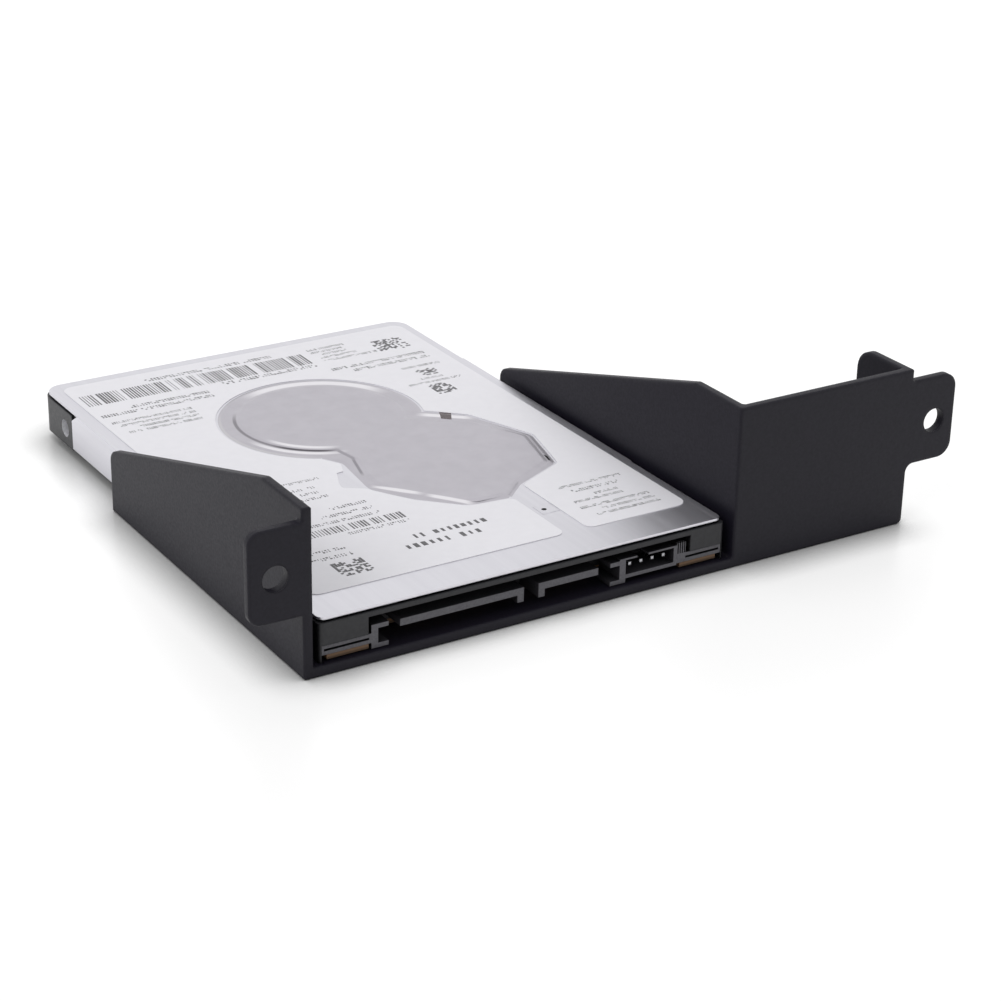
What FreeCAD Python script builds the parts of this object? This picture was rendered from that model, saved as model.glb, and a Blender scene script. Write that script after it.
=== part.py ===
"""Holder for a 2.5 inch drive, with the hard disk drive that is screwed into it.

The frame of the part: x = 0 in the middle of the bay, y = 0 in the middle of the floor's depth,
z = 0 on the floor's underside. The front, with the fixing tab, the panel and the drive's
connector, faces -y. Sizes are in millimetres and angles in degrees.

Drive pieces are drawn in the drive's own frame: x = 0 on its centre line, y = 0 at its
connector end, z = 0 on its underside. place_in_holder then sets them on the holder's floor.
"""
import FreeCAD
import Part
import math
import os

Vector = FreeCAD.Vector
UP = Vector(0, 0, 1)

# How far a cutter runs past the face that it opens
overrun = 1.0

# Drive outside
drive_width = 69.85
drive_length = 100.35
drive_height = 7.0
rear_corner_radius = 3.0
front_corner_radius = 0.8

# Screw holes that every drive of this size shares
screw_radius = 1.5
screw_row_width = 61.72
front_screw_y = 14.0
rear_screw_setback = 9.75
side_screw_z = 3.0
screw_hole_depth = 2.6
side_hole_depth = 2.4
corner_block = 3.0

# Holder
wall = 1.5
side_clearance = 1.3
drive_setback = 0.8
holder_depth = 66.0
holder_height = 26.3
right_wall_extra = 2.5
wall_rear_height = 10.3
wall_flat_length = 12.2
wall_corner_radius = 2.0
edge_bevel = 0.2
fixing_hole_radius = 2.0
fixing_margin = 4.1
tab_drop = 2.0
tab_height = 14.2
tab_hole_drop = 7.5
tab_hole_reach = 4.2
tab_corner_radius = 2.0
panel_width = 32.1
panel_corner_radius = 0.8
ear_hole_reach = 4.8
ear_corner_radius = 2.5
ear_root_radius = 1.4
flange_depth = 12.2
flange_height = 14.0
flange_corner_radius = 3.2

# Screws between holder and drive
screw_head_radius = 2.75
screw_head_height = 1.2
screw_length = 3.6
socket_radius = 0.9
socket_depth = 0.6

# Base casting
floor_top = 2.3
rear_floor_bottom = 0.4
pocket_length = 45.0
pocket_ceiling = 1.4
pocket_half_width = 33.9
cavity_half_width = 32.9
yoke_clearance = 0.155
cavity_front_y = 8.3
cavity_step_y = 19.0
disc_clearance = 0.8

# Cover, gasket and label
cover_thickness = 0.4
cover_front_inset = 0.4
cover_rear_inset = 0.2
cover_side_inset = 0.25
cover_front_corner = 1.2
skirt_bottom = 0.3
right_skirt_start = 23.0
right_skirt_end = 80.0
skirt_gap = 0.05
skirt_relief_length = 2.4
skirt_relief_height = 1.5
gasket_thickness = 0.3
gasket_width = 0.8
gasket_inset = 0.15
rim_step_rise = 0.17
dome_rise = 0.34
dome_slope = 0.7
dome_inset = 0.4
dome_circle_radius = 17.4
dome_left_angle = 242.0
dome_right_angle = 341.0
plateau_circle_radius = 14.2
plateau_left_angle = 251.0
plateau_right_angle = 330.0
plateau_gap = 0.1
pad_half_width = 1.5
pad_rise = 0.06
pad_place = (12.9, 16.2)
pad_hole_radius = 0.4
pad_hole_place = (12.5, 16.15)

# Corners (x, y, radius) of the keyhole's square end, measured from the spindle, from the round
# end's right side round the front
keyhole_right_corners = ((22.0, -10.6, 2.5), (27.0, -23.3, 2.5), (24.1, -35.1, 1.5))
keyhole_channel_corners = ((14.6, -39.7, 1.2), (10.6, -43.3, 1.2))
keyhole_left_corners = ((3.0, -42.5, 4.0), (-3.2, -36.4, 6.0))
keyhole_neck_corners = ((-7.6, -29.8, 5.0), (-6.3, -18.6, 2.0))
label_notch_corners = (
    (-7.6, -29.0, 0.5), (-10.6, -27.0, 0.8), (-10.2, -25.2, 0), (-8.6, -21.6, 0), (-7.4, -21.4, 0),
    (-6.3, -18.6, 1.0))
plateau_neck_corners = ((-5.6, -29.2, 4.0), (-5.3, -24.6, 2.5), (-3.7, -18.8, 2.0))
plateau_right_corners = (
    (17.0, -11.0, 2.0), (20.9, -13.8, 2.0), (25.6, -23.3, 2.0), (22.9, -34.1, 1.5))

# Label
label_thickness = 0.1
label_left_inset = 2.4
label_right_inset = 1.8
label_front_inset = 7.1
label_rear_inset = 2.4
label_corner_radius = 2.0
label_channel_radius = 1.5

# Circuit board
board_bottom = 0.35
board_thickness = 0.8
board_gap = 0.3
board_tab_inner_x = 26.9
chip_height = 0.45
chip_gap = 0.1

# Chips on the board, each as centre x, centre y, width and length
chip_places = ((-14.0, 27.0, 9.0, 9.0), (0.0, 38.0, 6.0, 5.0), (24.0, 33.0, 6.0, 6.0))

# Connector
recess_left = -27.05
recess_right = 28.6
recess_top = 5.45
recess_depth = 7.6
wing_space_top = 2.7
wing_space_depth = 6.2
wing_space_half_width = 34.5
seat_gap = 0.05
back_wall_y = 5.7
blade_bottom = 2.42
blade_thickness = 1.13
blade_tip_y = 0.6
leg_width = 1.1
leg_drop = 1.2
power_blade_left = -21.6
power_blade_right = -0.8
signal_blade_left = 1.74
signal_blade_right = 12.25
post_front_y = 0.2
post_bottom = 0.2
post_top = 3.95
post_bar = 1.1
post_arm = 0.7
post_reach = 2.8
left_post_x = -26.5
right_post_x = 16.95
wing_thickness = 1.5
wing_slot = 0.35
jumper_frame_right = 26.3
jumper_frame_bottom = 0.9
jumper_frame_top = 4.2
jumper_frame_wall = 0.6
rib_block_right = 27.9
rib_block_top = 4.5
rib_count = 4
rib_share = 0.5
contact_pitch = 1.27
contact_width = 0.6
contact_thickness = 0.12
contact_front_y = 1.0
contact_foot_y = 6.6
power_contact_count = 15
signal_contact_count = 7
jumper_pitch = 2.05
jumper_first_x = 18.22
jumper_z = 2.75
jumper_count = 4
jumper_side = 0.5

# Disc and motor
disc_front_y = 32.8
disc_rear_margin = 2.55
disc_side_margin = 2.425
disc_bore_radius = 10.0
disc_thickness = 0.8
disc_middle_z = 4.3
running_clearance = 0.05
shaft_radius = 2.0
shaft_cap_radius = 2.8
shaft_cap_thickness = 0.3
sleeve_radius = 3.6
hub_lip = 1.6
hub_bore_fit = 0.03
hub_skirt_inner_radius = 8.9
hub_bottom = 2.6
hub_plate_bottom = 3.6
rotor_magnet_thickness = 0.45
stator_outer_radius = 8.2
stator_ring_radius = 5.4
stator_inner_radius = 4.4
stator_height = 1.1
stator_teeth = 9
stator_tooth_width = 1.2
clamp_thickness = 0.4
clamp_bore_radius = 3.4

# Head stack
pivot_x = 12.5
pivot_y = 27.0
arm_length = 35.2
parking_margin = 1.9
post_radius = 2.5
post_flange_radius = 3.6
post_flange_top = 2.8
post_top_z = 6.1
pivot_sleeve_radius = 3.9
arm_block_radius = 5.5
arm_thickness = 0.4
arm_gap = 0.5
suspension_length = 7.2
arm_root_width = 7.0
arm_tip_width = 3.0
suspension_thickness = 0.1
suspension_width = 1.6
lift_tab_width = 0.5
lift_tab_length = 1.7
slider_length = 1.2
slider_width = 1.0
flying_gap = 0.05
coil_bottom = 3.95
coil_thickness = 0.8
coil_inner_reach = 8.0
coil_outer_reach = 15.2
coil_half_angle = 16.0
coil_turn_width = 2.0
coil_corner_radius = 1.2
coil_window_radius = 0.3
carrier_rim = 0.8

# Magnet of the coil motor
yoke_inner_radius = 6.6
yoke_outer_radius = 16.6
yoke_thickness = 0.6
yoke_start_angle = 281.0
yoke_end_angle = 365.0
yoke_margin_angle = 4.0
yoke_post_reach = 17.3
yoke_post_radius = 0.8
yoke_lug_radius = 1.5
yoke_post_inset_angle = 2.0
upper_yoke_bottom = 5.3
magnet_thickness = 0.7
magnet_gap_angle = 1.0
magnet_inset = 0.8

# Ramp, filter and head circuit
ramp_clearance = 0.05
ramp_start = 0.5
ramp_width_angle = 4.0
ramp_post_gap = 0.5
ramp_post_length = 3.0
filter_corner = (-30.5, 21.0)
filter_size = (6.0, 8.0, 3.4)
header_corner = (-6.0, 9.5)
header_size = (11.0, 6.0, 0.9)
flex_thickness = 0.15
flex_height = 2.0
flex_start = (2.0, 15.0)
flex_middle = (7.4, 16.2)
flex_end = (9.4, 21.3)

# Values that follow from the ones above
half_drive = drive_width / 2
rear_screw_y = drive_length - rear_screw_setback
disc_radius = min(half_drive - disc_side_margin, (drive_length - disc_rear_margin - disc_front_y) / 2)
spindle_y = disc_front_y + disc_radius
parked_radius = disc_radius + parking_margin
arm_reach = arm_length - suspension_length
yoke_width_at_step = math.sqrt(yoke_outer_radius ** 2 - (pivot_y - cavity_step_y) ** 2)
cavity_front_half_width = pivot_x + yoke_width_at_step + yoke_clearance
half_bay = half_drive + side_clearance
half_outer = half_bay + wall
holder_front = -holder_depth / 2
holder_rear = holder_depth / 2
drive_front = holder_front + drive_setback
panel_right = half_outer + panel_width
ear_hole_x = panel_right + ear_hole_reach
ear_right = ear_hole_x + fixing_margin
tab_top = holder_height - tab_drop
tab_bottom = tab_top - tab_height
fixing_height = tab_top - tab_hole_drop
tab_hole_x = -half_outer - tab_hole_reach
tab_left = tab_hole_x - fixing_margin
screw_columns = (-screw_row_width / 2, screw_row_width / 2)
cover_top = drive_height - label_thickness
cover_underside = cover_top - cover_thickness
rim_top = cover_underside - gasket_thickness
skirt_start = front_screw_y + corner_block
skirt_end = rear_screw_y - corner_block
board_top = board_bottom + board_thickness
blade_top = blade_bottom + blade_thickness
disc_bottom = disc_middle_z - disc_thickness / 2
disc_top = disc_middle_z + disc_thickness / 2
lower_arm_top = disc_bottom - arm_gap
upper_arm_bottom = disc_top + arm_gap
pivot_distance = math.hypot(pivot_x, spindle_y - pivot_y)
disc_angle = math.degrees(math.atan2(spindle_y - pivot_y, -pivot_x))


def swing_angle(head_radius):
    """The angle between arm and pivot-to-spindle line with the head at a radius of the disc."""
    sides = pivot_distance ** 2 + arm_length ** 2 - head_radius ** 2
    return math.degrees(math.acos(sides / (2 * pivot_distance * arm_length)))


park_angle = disc_angle + swing_angle(parked_radius)


def box(x0, x1, y0, y1, z0, z1):
    """A block between two corners."""
    return Part.makeBox(x1 - x0, y1 - y0, z1 - z0, Vector(x0, y0, z0))


def cylinder(radius, x, y, z0, z1):
    """An upright cylinder."""
    return Part.makeCylinder(radius, z1 - z0, Vector(x, y, z0), UP)


def cone(radius_low, radius_high, x, y, z0, z1):
    """An upright cone frustum."""
    return Part.makeCone(radius_low, radius_high, z1 - z0, Vector(x, y, z0), UP)


def union(shapes):
    """One shape from several that touch or overlap, without inner seams."""
    return shapes[0].fuse(shapes[1:]).removeSplitter()


def group(shapes):
    """Several separate solids that share one node."""
    return Part.makeCompound(shapes)


def outline_edges(corners, place, closed=True):
    """Edges through corners (u, v, radius), with an arc of that radius at each rounded corner.

    place turns a plane vector (u, v) into a point of space. An open outline starts and ends at
    its first and last corners.
    """
    count = len(corners)
    stations = []
    for i, (u, v, radius) in enumerate(corners):
        corner = Vector(u, v, 0)
        is_end = not closed and i in (0, count - 1)
        if radius <= 0 or is_end:
            stations.append((corner, None, corner))
            continue
        before = Vector(corners[i - 1][0], corners[i - 1][1], 0)
        after = Vector(corners[(i + 1) % count][0], corners[(i + 1) % count][1], 0)
        to_before = (before - corner).normalize()
        to_after = (after - corner).normalize()
        half = to_before.getAngle(to_after) / 2
        reach = radius / math.tan(half)
        bisector = (to_before + to_after).normalize()
        middle = corner + bisector * (radius / math.sin(half) - radius)
        stations.append((corner + to_before * reach, middle, corner + to_after * reach))
    edges = []
    last = count if closed else count - 1
    for i in range(count):
        start, middle, end = stations[i]
        if middle is not None:
            edges.append(Part.Arc(place(start), place(middle), place(end)).toShape())
        if i < last:
            following = stations[(i + 1) % count][0]
            edges.append(Part.LineSegment(place(end), place(following)).toShape())
    return edges


def flat_place(z):
    """A placing of plan points at one height."""
    return lambda p: Vector(p.x, p.y, z)


def flat_face(corners, z):
    """A level face with a rounded outline."""
    return Part.Face(Part.Wire(outline_edges(corners, flat_place(z))))


def flat_plate(corners, z0, z1):
    """A plate with a rounded outline in plan, between two heights."""
    return flat_face(corners, z0).extrude(Vector(0, 0, z1 - z0))


def side_plate(corners, x0, x1):
    """A plate whose outline (y, z) is seen from the side, between two x."""
    wire = Part.Wire(outline_edges(corners, lambda p: Vector(x0, p.x, p.y)))
    return Part.Face(wire).extrude(Vector(x1 - x0, 0, 0))


def front_plate(corners, y0, y1):
    """A plate whose outline (x, z) is seen from the front, between two y."""
    wire = Part.Wire(outline_edges(corners, lambda p: Vector(p.x, y0, p.y)))
    return Part.Face(wire).extrude(Vector(0, y1 - y0, 0))


def rectangle(x0, x1, y0, y1, radius=0):
    """Corners of a rectangle in plan, all with one radius."""
    return [(x0, y0, radius), (x1, y0, radius), (x1, y1, radius), (x0, y1, radius)]


def turned(profile, x, y):
    """A hub or ring from a closed (radius, height) profile about an upright axis."""
    points = [Vector(x + r, y, z) for r, z in profile]
    points.append(points[0])
    return Part.Face(Part.makePolygon(points)).revolve(Vector(x, y, 0), UP, 360)


def polar(x, y, radius, degrees):
    """The point at a radius and an angle about (x, y)."""
    angle = math.radians(degrees)
    return x + radius * math.cos(angle), y + radius * math.sin(angle)


def sector(x, y, inner, outer, start, end, z0, z1):
    """A plate between two radii and two angles about (x, y)."""
    middle = (start + end) / 2
    ends = [Vector(*polar(x, y, r, a), z0) for r, a in
            ((inner, start), (inner, middle), (inner, end), (outer, end), (outer, middle), (outer, start))]
    edges = [
        Part.Arc(ends[0], ends[1], ends[2]).toShape(),
        Part.LineSegment(ends[2], ends[3]).toShape(),
        Part.Arc(ends[3], ends[4], ends[5]).toShape(),
        Part.LineSegment(ends[5], ends[0]).toShape(),
    ]
    return Part.Face(Part.Wire(edges)).extrude(Vector(0, 0, z1 - z0))


def arm_frame(shape):
    """Turns a piece drawn along +x from the pivot to the arm's parked direction."""
    turned_shape = shape.rotated(Vector(0, 0, 0), UP, park_angle)
    return turned_shape.translated(Vector(pivot_x, pivot_y, 0))


def place_in_holder(shape):
    """Moves a drive piece from the drive's frame onto the holder's floor."""
    return shape.translated(Vector(0, drive_front, wall))


# Holder


def side_wall(x0, x1, extra):
    """A wall that rises from a low rear end to the full height at the front."""
    slope = (holder_height - wall_rear_height) / (holder_depth - wall_flat_length)
    rear = holder_rear + extra
    corners = [
        (holder_front, 0, 0),
        (rear, 0, 0),
        (rear, wall_rear_height - slope * extra, wall_corner_radius),
        (holder_front + wall_flat_length, holder_height, 0),
        (holder_front, holder_height, 0),
    ]
    return side_plate(corners, x0, x1)


def fixing_tab():
    """The tab that stands out to the left, level with the front."""
    corners = [
        (-half_bay, tab_bottom, 0),
        (tab_left, tab_bottom, tab_corner_radius),
        (tab_left, tab_top, tab_corner_radius),
        (-half_bay, tab_top, 0),
    ]
    return front_plate(corners, holder_front, holder_front + wall)


def front_panel():
    """The panel to the right of the bay, with the ear at its end."""
    corners = [
        (half_bay, 0, 0),
        (panel_right, 0, panel_corner_radius),
        (panel_right, tab_bottom, ear_root_radius),
        (ear_right, tab_bottom, ear_corner_radius),
        (ear_right, tab_top, ear_corner_radius),
        (panel_right, tab_top, 0),
        (panel_right, holder_height, 0),
        (half_bay, holder_height, 0),
    ]
    return front_plate(corners, holder_front, holder_front + wall)


def rear_flange():
    """The flange that runs back from the panel's end, behind the ear."""
    back = holder_front + flange_depth
    low = holder_height - flange_height
    corners = [
        (holder_front, low, 0),
        (back, low, flange_corner_radius),
        (back, holder_height, flange_corner_radius),
        (holder_front, holder_height, 0),
    ]
    return side_plate(corners, panel_right - wall, panel_right)


def fixing_hole(x):
    """The cutter of one hole in the tab or the ear."""
    start = Vector(x, holder_front - overrun, fixing_height)
    return Part.makeCylinder(fixing_hole_radius, wall + 2 * overrun, start, Vector(0, 1, 0))


def holder_bracket():
    """Floor, walls, tab, panel and flange as one piece, with broken edges."""
    body = union([
        box(-half_outer, half_outer, holder_front, holder_rear, 0, wall),
        side_wall(-half_outer, -half_bay, 0),
        side_wall(half_bay, half_outer, right_wall_extra),
        fixing_tab(),
        front_panel(),
        rear_flange(),
    ])
    body = body.makeChamfer(edge_bevel, body.Edges)
    cutters = [fixing_hole(tab_hole_x), fixing_hole(ear_hole_x)]
    screw_y = drive_front + front_screw_y
    for x in screw_columns:
        cutters.append(cylinder(screw_radius, x, screw_y, 0, screw_length + overrun))
        cutters.append(cone(screw_head_radius, screw_radius, x, screw_y, 0, screw_head_height))
    return body.cut(cutters)


def holder_screws():
    """Two flat head screws, up through the floor into the drive."""
    shapes = []
    screw_y = drive_front + front_screw_y
    for x in screw_columns:
        head = cone(screw_head_radius, screw_radius, x, screw_y, 0, screw_head_height)
        shank = cylinder(screw_radius, x, screw_y, screw_head_height, screw_length)
        socket = cylinder(socket_radius, x, screw_y, 0, socket_depth)
        shapes.append(head.fuse(shank).cut(socket))
    return group(shapes)


# Base of the drive


def cavity_face(z):
    """Plan of the sealed space: a round end for the disc, a stepped end for the head stack."""
    edge = Part.Circle(Vector(0, spindle_y, z), UP, disc_radius + disc_clearance).toShape()
    disc = Part.Face(Part.Wire(edge))
    wide = flat_face(rectangle(-cavity_half_width, cavity_half_width, cavity_step_y, spindle_y), z)
    front = flat_face(
        rectangle(-cavity_front_half_width, cavity_front_half_width, cavity_front_y, spindle_y), z)
    return disc.fuse([wide, front]).removeSplitter().Faces[0]


def screw_bosses(z0, z1, margin=0):
    """The blocks round the drive's bottom screw holes, joined to the side walls."""
    shapes = []
    reach = corner_block + margin
    for x in screw_columns:
        side = math.copysign(half_drive, x)
        for y in (front_screw_y, rear_screw_y):
            shapes.append(cylinder(reach, x, y, z0, z1))
            shapes.append(box(min(x, side), max(x, side), y - reach, y + reach, z0, z1))
    return union(shapes)


def mounting_hole_cutters():
    """Blind holes for the mounting screws, from below and from both sides."""
    cutters = []
    for x in screw_columns:
        outward = Vector(math.copysign(1, x), 0, 0)
        inner_end = math.copysign(half_drive - side_hole_depth, x)
        for y in (front_screw_y, rear_screw_y):
            cutters.append(cylinder(screw_radius, x, y, -wall, screw_hole_depth))
            start = Vector(inner_end, y, side_screw_z)
            cutters.append(Part.makeCylinder(screw_radius, 2 * corner_block, start, outward))
    return cutters


def chip_block(place, margin, z0, z1):
    """A chip, or the room for it with a margin."""
    x, y, width, length = place
    half_x = width / 2 + margin
    half_y = length / 2 + margin
    return box(x - half_x, x + half_x, y - half_y, y + half_y, z0, z1)


def drive_base():
    """The cast tub: walls, floor, board pocket, connector recess, bosses and holes."""
    outline = [
        (-half_drive, 0, front_corner_radius),
        (half_drive, 0, front_corner_radius),
        (half_drive, drive_length, rear_corner_radius),
        (-half_drive, drive_length, rear_corner_radius),
    ]
    body = flat_plate(outline, 0, rim_top)
    bosses = screw_bosses(-overrun, pocket_ceiling)
    pocket = box(-pocket_half_width, pocket_half_width, -overrun, pocket_length, -overrun, pocket_ceiling)
    rear_hollow = box(
        -cavity_half_width, cavity_half_width, pocket_length, skirt_end, -overrun, rear_floor_bottom)
    cutters = [
        cavity_face(floor_top).extrude(Vector(0, 0, drive_height)),
        pocket.cut(bosses),
        rear_hollow,
        box(recess_left, recess_right, -overrun, recess_depth, -overrun, recess_top),
        box(-wing_space_half_width, wing_space_half_width,
            -overrun, wing_space_depth, -overrun, wing_space_top),
        cylinder(shaft_radius, 0, spindle_y, -overrun, drive_height),
        cylinder(post_radius, pivot_x, pivot_y, -overrun, drive_height),
    ]
    relief = half_drive - skirt_gap - cover_thickness
    cutters.append(box(-half_drive - overrun, -relief, skirt_start, skirt_end, -overrun, drive_height))
    cutters.append(
        box(relief, half_drive + overrun, right_skirt_start, right_skirt_end, -overrun, drive_height))
    for place in chip_places:
        cutters.append(chip_block(place, board_gap, -overrun, board_top + chip_height + chip_gap))
    return body.cut(cutters + mounting_hole_cutters())


# Cover, gasket and label


def from_spindle(corners):
    """Corners measured from the spindle, in the drive's frame."""
    return [(x, spindle_y + y, radius) for x, y, radius in corners]


def keyhole_edges(corners, z, radius, left_angle, right_angle):
    """The round end of a keyhole, closed by the corners from its right end to its left end."""
    right = polar(0, spindle_y, radius, right_angle)
    left = polar(0, spindle_y, radius, left_angle)
    top = polar(0, spindle_y, radius, (left_angle + right_angle - 360) / 2)
    chain = [(right[0], right[1], 0)] + corners + [(left[0], left[1], 0)]
    arc = Part.Arc(Vector(*left, z), Vector(*top, z), Vector(*right, z)).toShape()
    return outline_edges(chain, flat_place(z), closed=False) + [arc]


def dome_outline(corners, z):
    """The outline of the whole dome, which the label follows too."""
    return keyhole_edges(corners, z, dome_circle_radius, dome_left_angle, dome_right_angle)


def rim_wire(z, inset):
    """The whole dome at a height, drawn in by an inset all round."""
    corners = from_spindle(
        keyhole_right_corners + keyhole_channel_corners + keyhole_left_corners + keyhole_neck_corners)
    return Part.Wire(dome_outline(corners, z)).makeOffset2D(-inset)


def plateau_wire(z, inset):
    """The dome's plateau at a height: a smaller round end, and the same square end drawn in."""
    step = dome_inset + dome_slope + plateau_gap
    front = [(x, y + step, radius) for x, y, radius in keyhole_channel_corners]
    left = [(x + step, y + step / 2, radius) for x, y, radius in keyhole_left_corners]
    corners = from_spindle([*plateau_right_corners, *front, *left, *plateau_neck_corners])
    edges = keyhole_edges(corners, z, plateau_circle_radius, plateau_left_angle, plateau_right_angle)
    return Part.Wire(edges).makeOffset2D(-inset)


def dome_block(z0, extra_inset):
    """The raised keyhole above a height: a low rim, and the plateau inside it."""
    rim_z = z0 + rim_step_rise
    rim = [
        rim_wire(z0, dome_inset + extra_inset),
        rim_wire(rim_z, dome_inset + extra_inset + dome_slope),
    ]
    plateau = [
        plateau_wire(rim_z, extra_inset),
        plateau_wire(z0 + dome_rise, extra_inset + dome_slope),
    ]
    return Part.makeLoft(rim, True, True).fuse(Part.makeLoft(plateau, True, True))


def cover_skirt(x0, x1, start, end):
    """One folded side of the cover, with a relief cut at each end of the fold."""
    relief_z = cover_top - skirt_relief_height
    corners = [
        (start, skirt_bottom, 0),
        (end, skirt_bottom, 0),
        (end, relief_z, 0),
        (end - skirt_relief_length, cover_top, 0),
        (start + skirt_relief_length, cover_top, 0),
        (start, relief_z, 0),
    ]
    return side_plate(corners, x0, x1)


def datum_pad():
    """The small raised square in front of the dome."""
    x, y = pad_place
    return box(x - pad_half_width, x + pad_half_width, y - pad_half_width, y + pad_half_width,
               cover_underside, cover_top + pad_rise)


def drive_cover():
    """Stamped cover: flat rim, raised keyhole dome, and a skirt down each long side."""
    half_cover = half_drive - cover_side_inset
    rear = drive_length - cover_rear_inset
    outline = [
        (-half_cover, cover_front_inset, cover_front_corner),
        (half_cover, cover_front_inset, cover_front_corner),
        (half_cover, rear, rear_corner_radius),
        (-half_cover, rear, rear_corner_radius),
    ]
    body = union([
        flat_plate(outline, cover_underside, cover_top),
        cover_skirt(-half_drive, -half_drive + cover_thickness, skirt_start, skirt_end),
        cover_skirt(half_drive - cover_thickness, half_drive, right_skirt_start, right_skirt_end),
        datum_pad(),
    ])
    body = body.fuse(dome_block(cover_top, 0))
    pad_hole = cylinder(pad_hole_radius, *pad_hole_place, cover_top - pad_rise, drive_height)
    return body.cut([dome_block(cover_underside, cover_thickness / 2), pad_hole])


def cover_gasket():
    """The seal that runs round the cavity, between the base's rim and the cover."""
    plan = cavity_face(rim_top)
    outer = plan.makeOffset2D(gasket_inset + gasket_width)
    inner = plan.makeOffset2D(gasket_inset)
    return outer.cut(inner).extrude(Vector(0, 0, gasket_thickness))


def cover_label():
    """The label: one sheet, cut out round the dome and open to the front by a channel."""
    left_edge = label_left_inset - half_drive
    right_edge = half_drive - label_right_inset
    rear = drive_length - label_rear_inset
    right_corner, left_corner = from_spindle(keyhole_channel_corners)
    corners = [
        *from_spindle(keyhole_right_corners),
        right_corner,
        (right_corner[0], label_front_inset, label_channel_radius),
        (right_edge, label_front_inset, label_corner_radius),
        (right_edge, rear, label_corner_radius),
        (left_edge, rear, label_corner_radius),
        (left_edge, label_front_inset, label_corner_radius),
        (left_corner[0], label_front_inset, label_channel_radius),
        left_corner,
        *from_spindle(keyhole_left_corners),
        *from_spindle(label_notch_corners),
    ]
    wire = Part.Wire(dome_outline(corners, cover_top))
    return Part.Face(wire).extrude(Vector(0, 0, label_thickness))


# Circuit board


def circuit_board():
    """The board in the base's pocket, cut away round the screw bosses and the connector."""
    half_board = pocket_half_width - board_gap
    plate = box(-half_board, half_board, board_gap, pocket_length - board_gap, board_bottom, board_top)
    cutters = [
        screw_bosses(-overrun, drive_height, board_gap),
        box(-board_tab_inner_x, board_tab_inner_x, -overrun, back_wall_y, -overrun, drive_height),
    ]
    return plate.cut(cutters)


def board_chips():
    """The chips on the board's upper face."""
    return group([chip_block(p, 0, board_top, board_top + chip_height) for p in chip_places])


# Connector


def contact(x):
    """One contact: a strip under the blade, with its foot down to the board."""
    x0 = x - contact_width / 2
    x1 = x + contact_width / 2
    strip_bottom = blade_bottom - contact_thickness
    strip = box(x0, x1, contact_front_y, contact_foot_y, strip_bottom, blade_bottom)
    foot = box(x0, x1, contact_foot_y - contact_thickness, contact_foot_y, board_top, blade_bottom)
    return strip.fuse(foot).removeSplitter()


def contact_row(first_x, count):
    """A row of contacts at the connector's pitch."""
    return [contact(first_x + i * contact_pitch) for i in range(count)]


def power_contacts():
    """The power contacts, spread evenly about the middle of their blade."""
    middle = (power_blade_left + power_blade_right - leg_width) / 2
    first = middle - (power_contact_count - 1) * contact_pitch / 2
    return contact_row(first, power_contact_count)


def signal_contacts():
    """The signal contacts, spread evenly about the middle of their blade."""
    middle = (signal_blade_left + leg_width + signal_blade_right) / 2
    first = middle - (signal_contact_count - 1) * contact_pitch / 2
    return contact_row(first, signal_contact_count)


def jumper_pins():
    """Four square pins that stand in the jumper frame and bend down to the board."""
    shapes = []
    half = jumper_side / 2
    for i in range(jumper_count):
        x = jumper_first_x + i * jumper_pitch
        pin = box(x - half, x + half, contact_front_y, contact_foot_y, jumper_z - half, jumper_z + half)
        foot = box(x - half, x + half, contact_foot_y - jumper_side, contact_foot_y,
                   board_top, jumper_z + half)
        shapes.append(pin.fuse(foot).removeSplitter())
    return shapes


def guide_post(bar_x, direction):
    """A post with an arm and a foot, as a bracket that opens towards the blades."""
    bar_end = bar_x + direction * post_bar
    arm_end = bar_x + direction * post_reach
    bar_low, bar_high = min(bar_x, bar_end), max(bar_x, bar_end)
    bar = box(bar_low, bar_high, post_front_y, back_wall_y, post_bottom, post_top)
    low, high = min(bar_end, arm_end), max(bar_end, arm_end)
    arm = box(low, high, post_front_y, back_wall_y, post_top - post_arm, post_top)
    foot = box(low, high, post_front_y, back_wall_y, post_bottom, post_bottom + post_arm)
    return [bar, arm, foot]


def connector_wing(x0, x1):
    """A wing beside the posts: two thin decks with a slot between them."""
    top = wing_space_top - seat_gap
    wing = box(x0, x1, post_front_y, back_wall_y, top - wing_thickness, top)
    slot_bottom = top - wing_thickness / 2 - wing_slot / 2
    slot_top = slot_bottom + wing_slot
    slot = box(x0 + wing_slot, x1 - wing_slot, 0, back_wall_y - wing_slot, slot_bottom, slot_top)
    return wing.cut(slot)


def jumper_frame():
    """The open box round the jumper pins, with a ribbed block on its right."""
    y0, y1 = post_front_y, back_wall_y
    left = right_post_x
    right = jumper_frame_right
    floor = jumper_frame_bottom
    top = jumper_frame_top
    roof = top - jumper_frame_wall / 2
    key_left = left + jumper_pitch
    key_right = key_left + jumper_pitch
    pieces = [
        box(left, right, y0, y1, floor, floor + jumper_frame_wall),
        box(right - jumper_frame_wall, right, y0, y1, floor, top),
        box(left - post_bar, key_left, y0, y1, roof, top),
        box(key_right, right, y0, y1, roof, top),
    ]
    block = box(right, rib_block_right, y0, y1, wing_space_top - wing_thickness, rib_block_top)
    rib_pitch = (rib_block_right - right) / rib_count
    grooves = []
    for i in range(rib_count):
        x = right + (i + rib_share / 2) * rib_pitch
        groove_end = x + (1 - rib_share) * rib_pitch
        grooves.append(box(x, groove_end, 0, y0 + rib_pitch, wing_space_top, drive_height))
    return pieces + [block.cut(grooves)]


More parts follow.
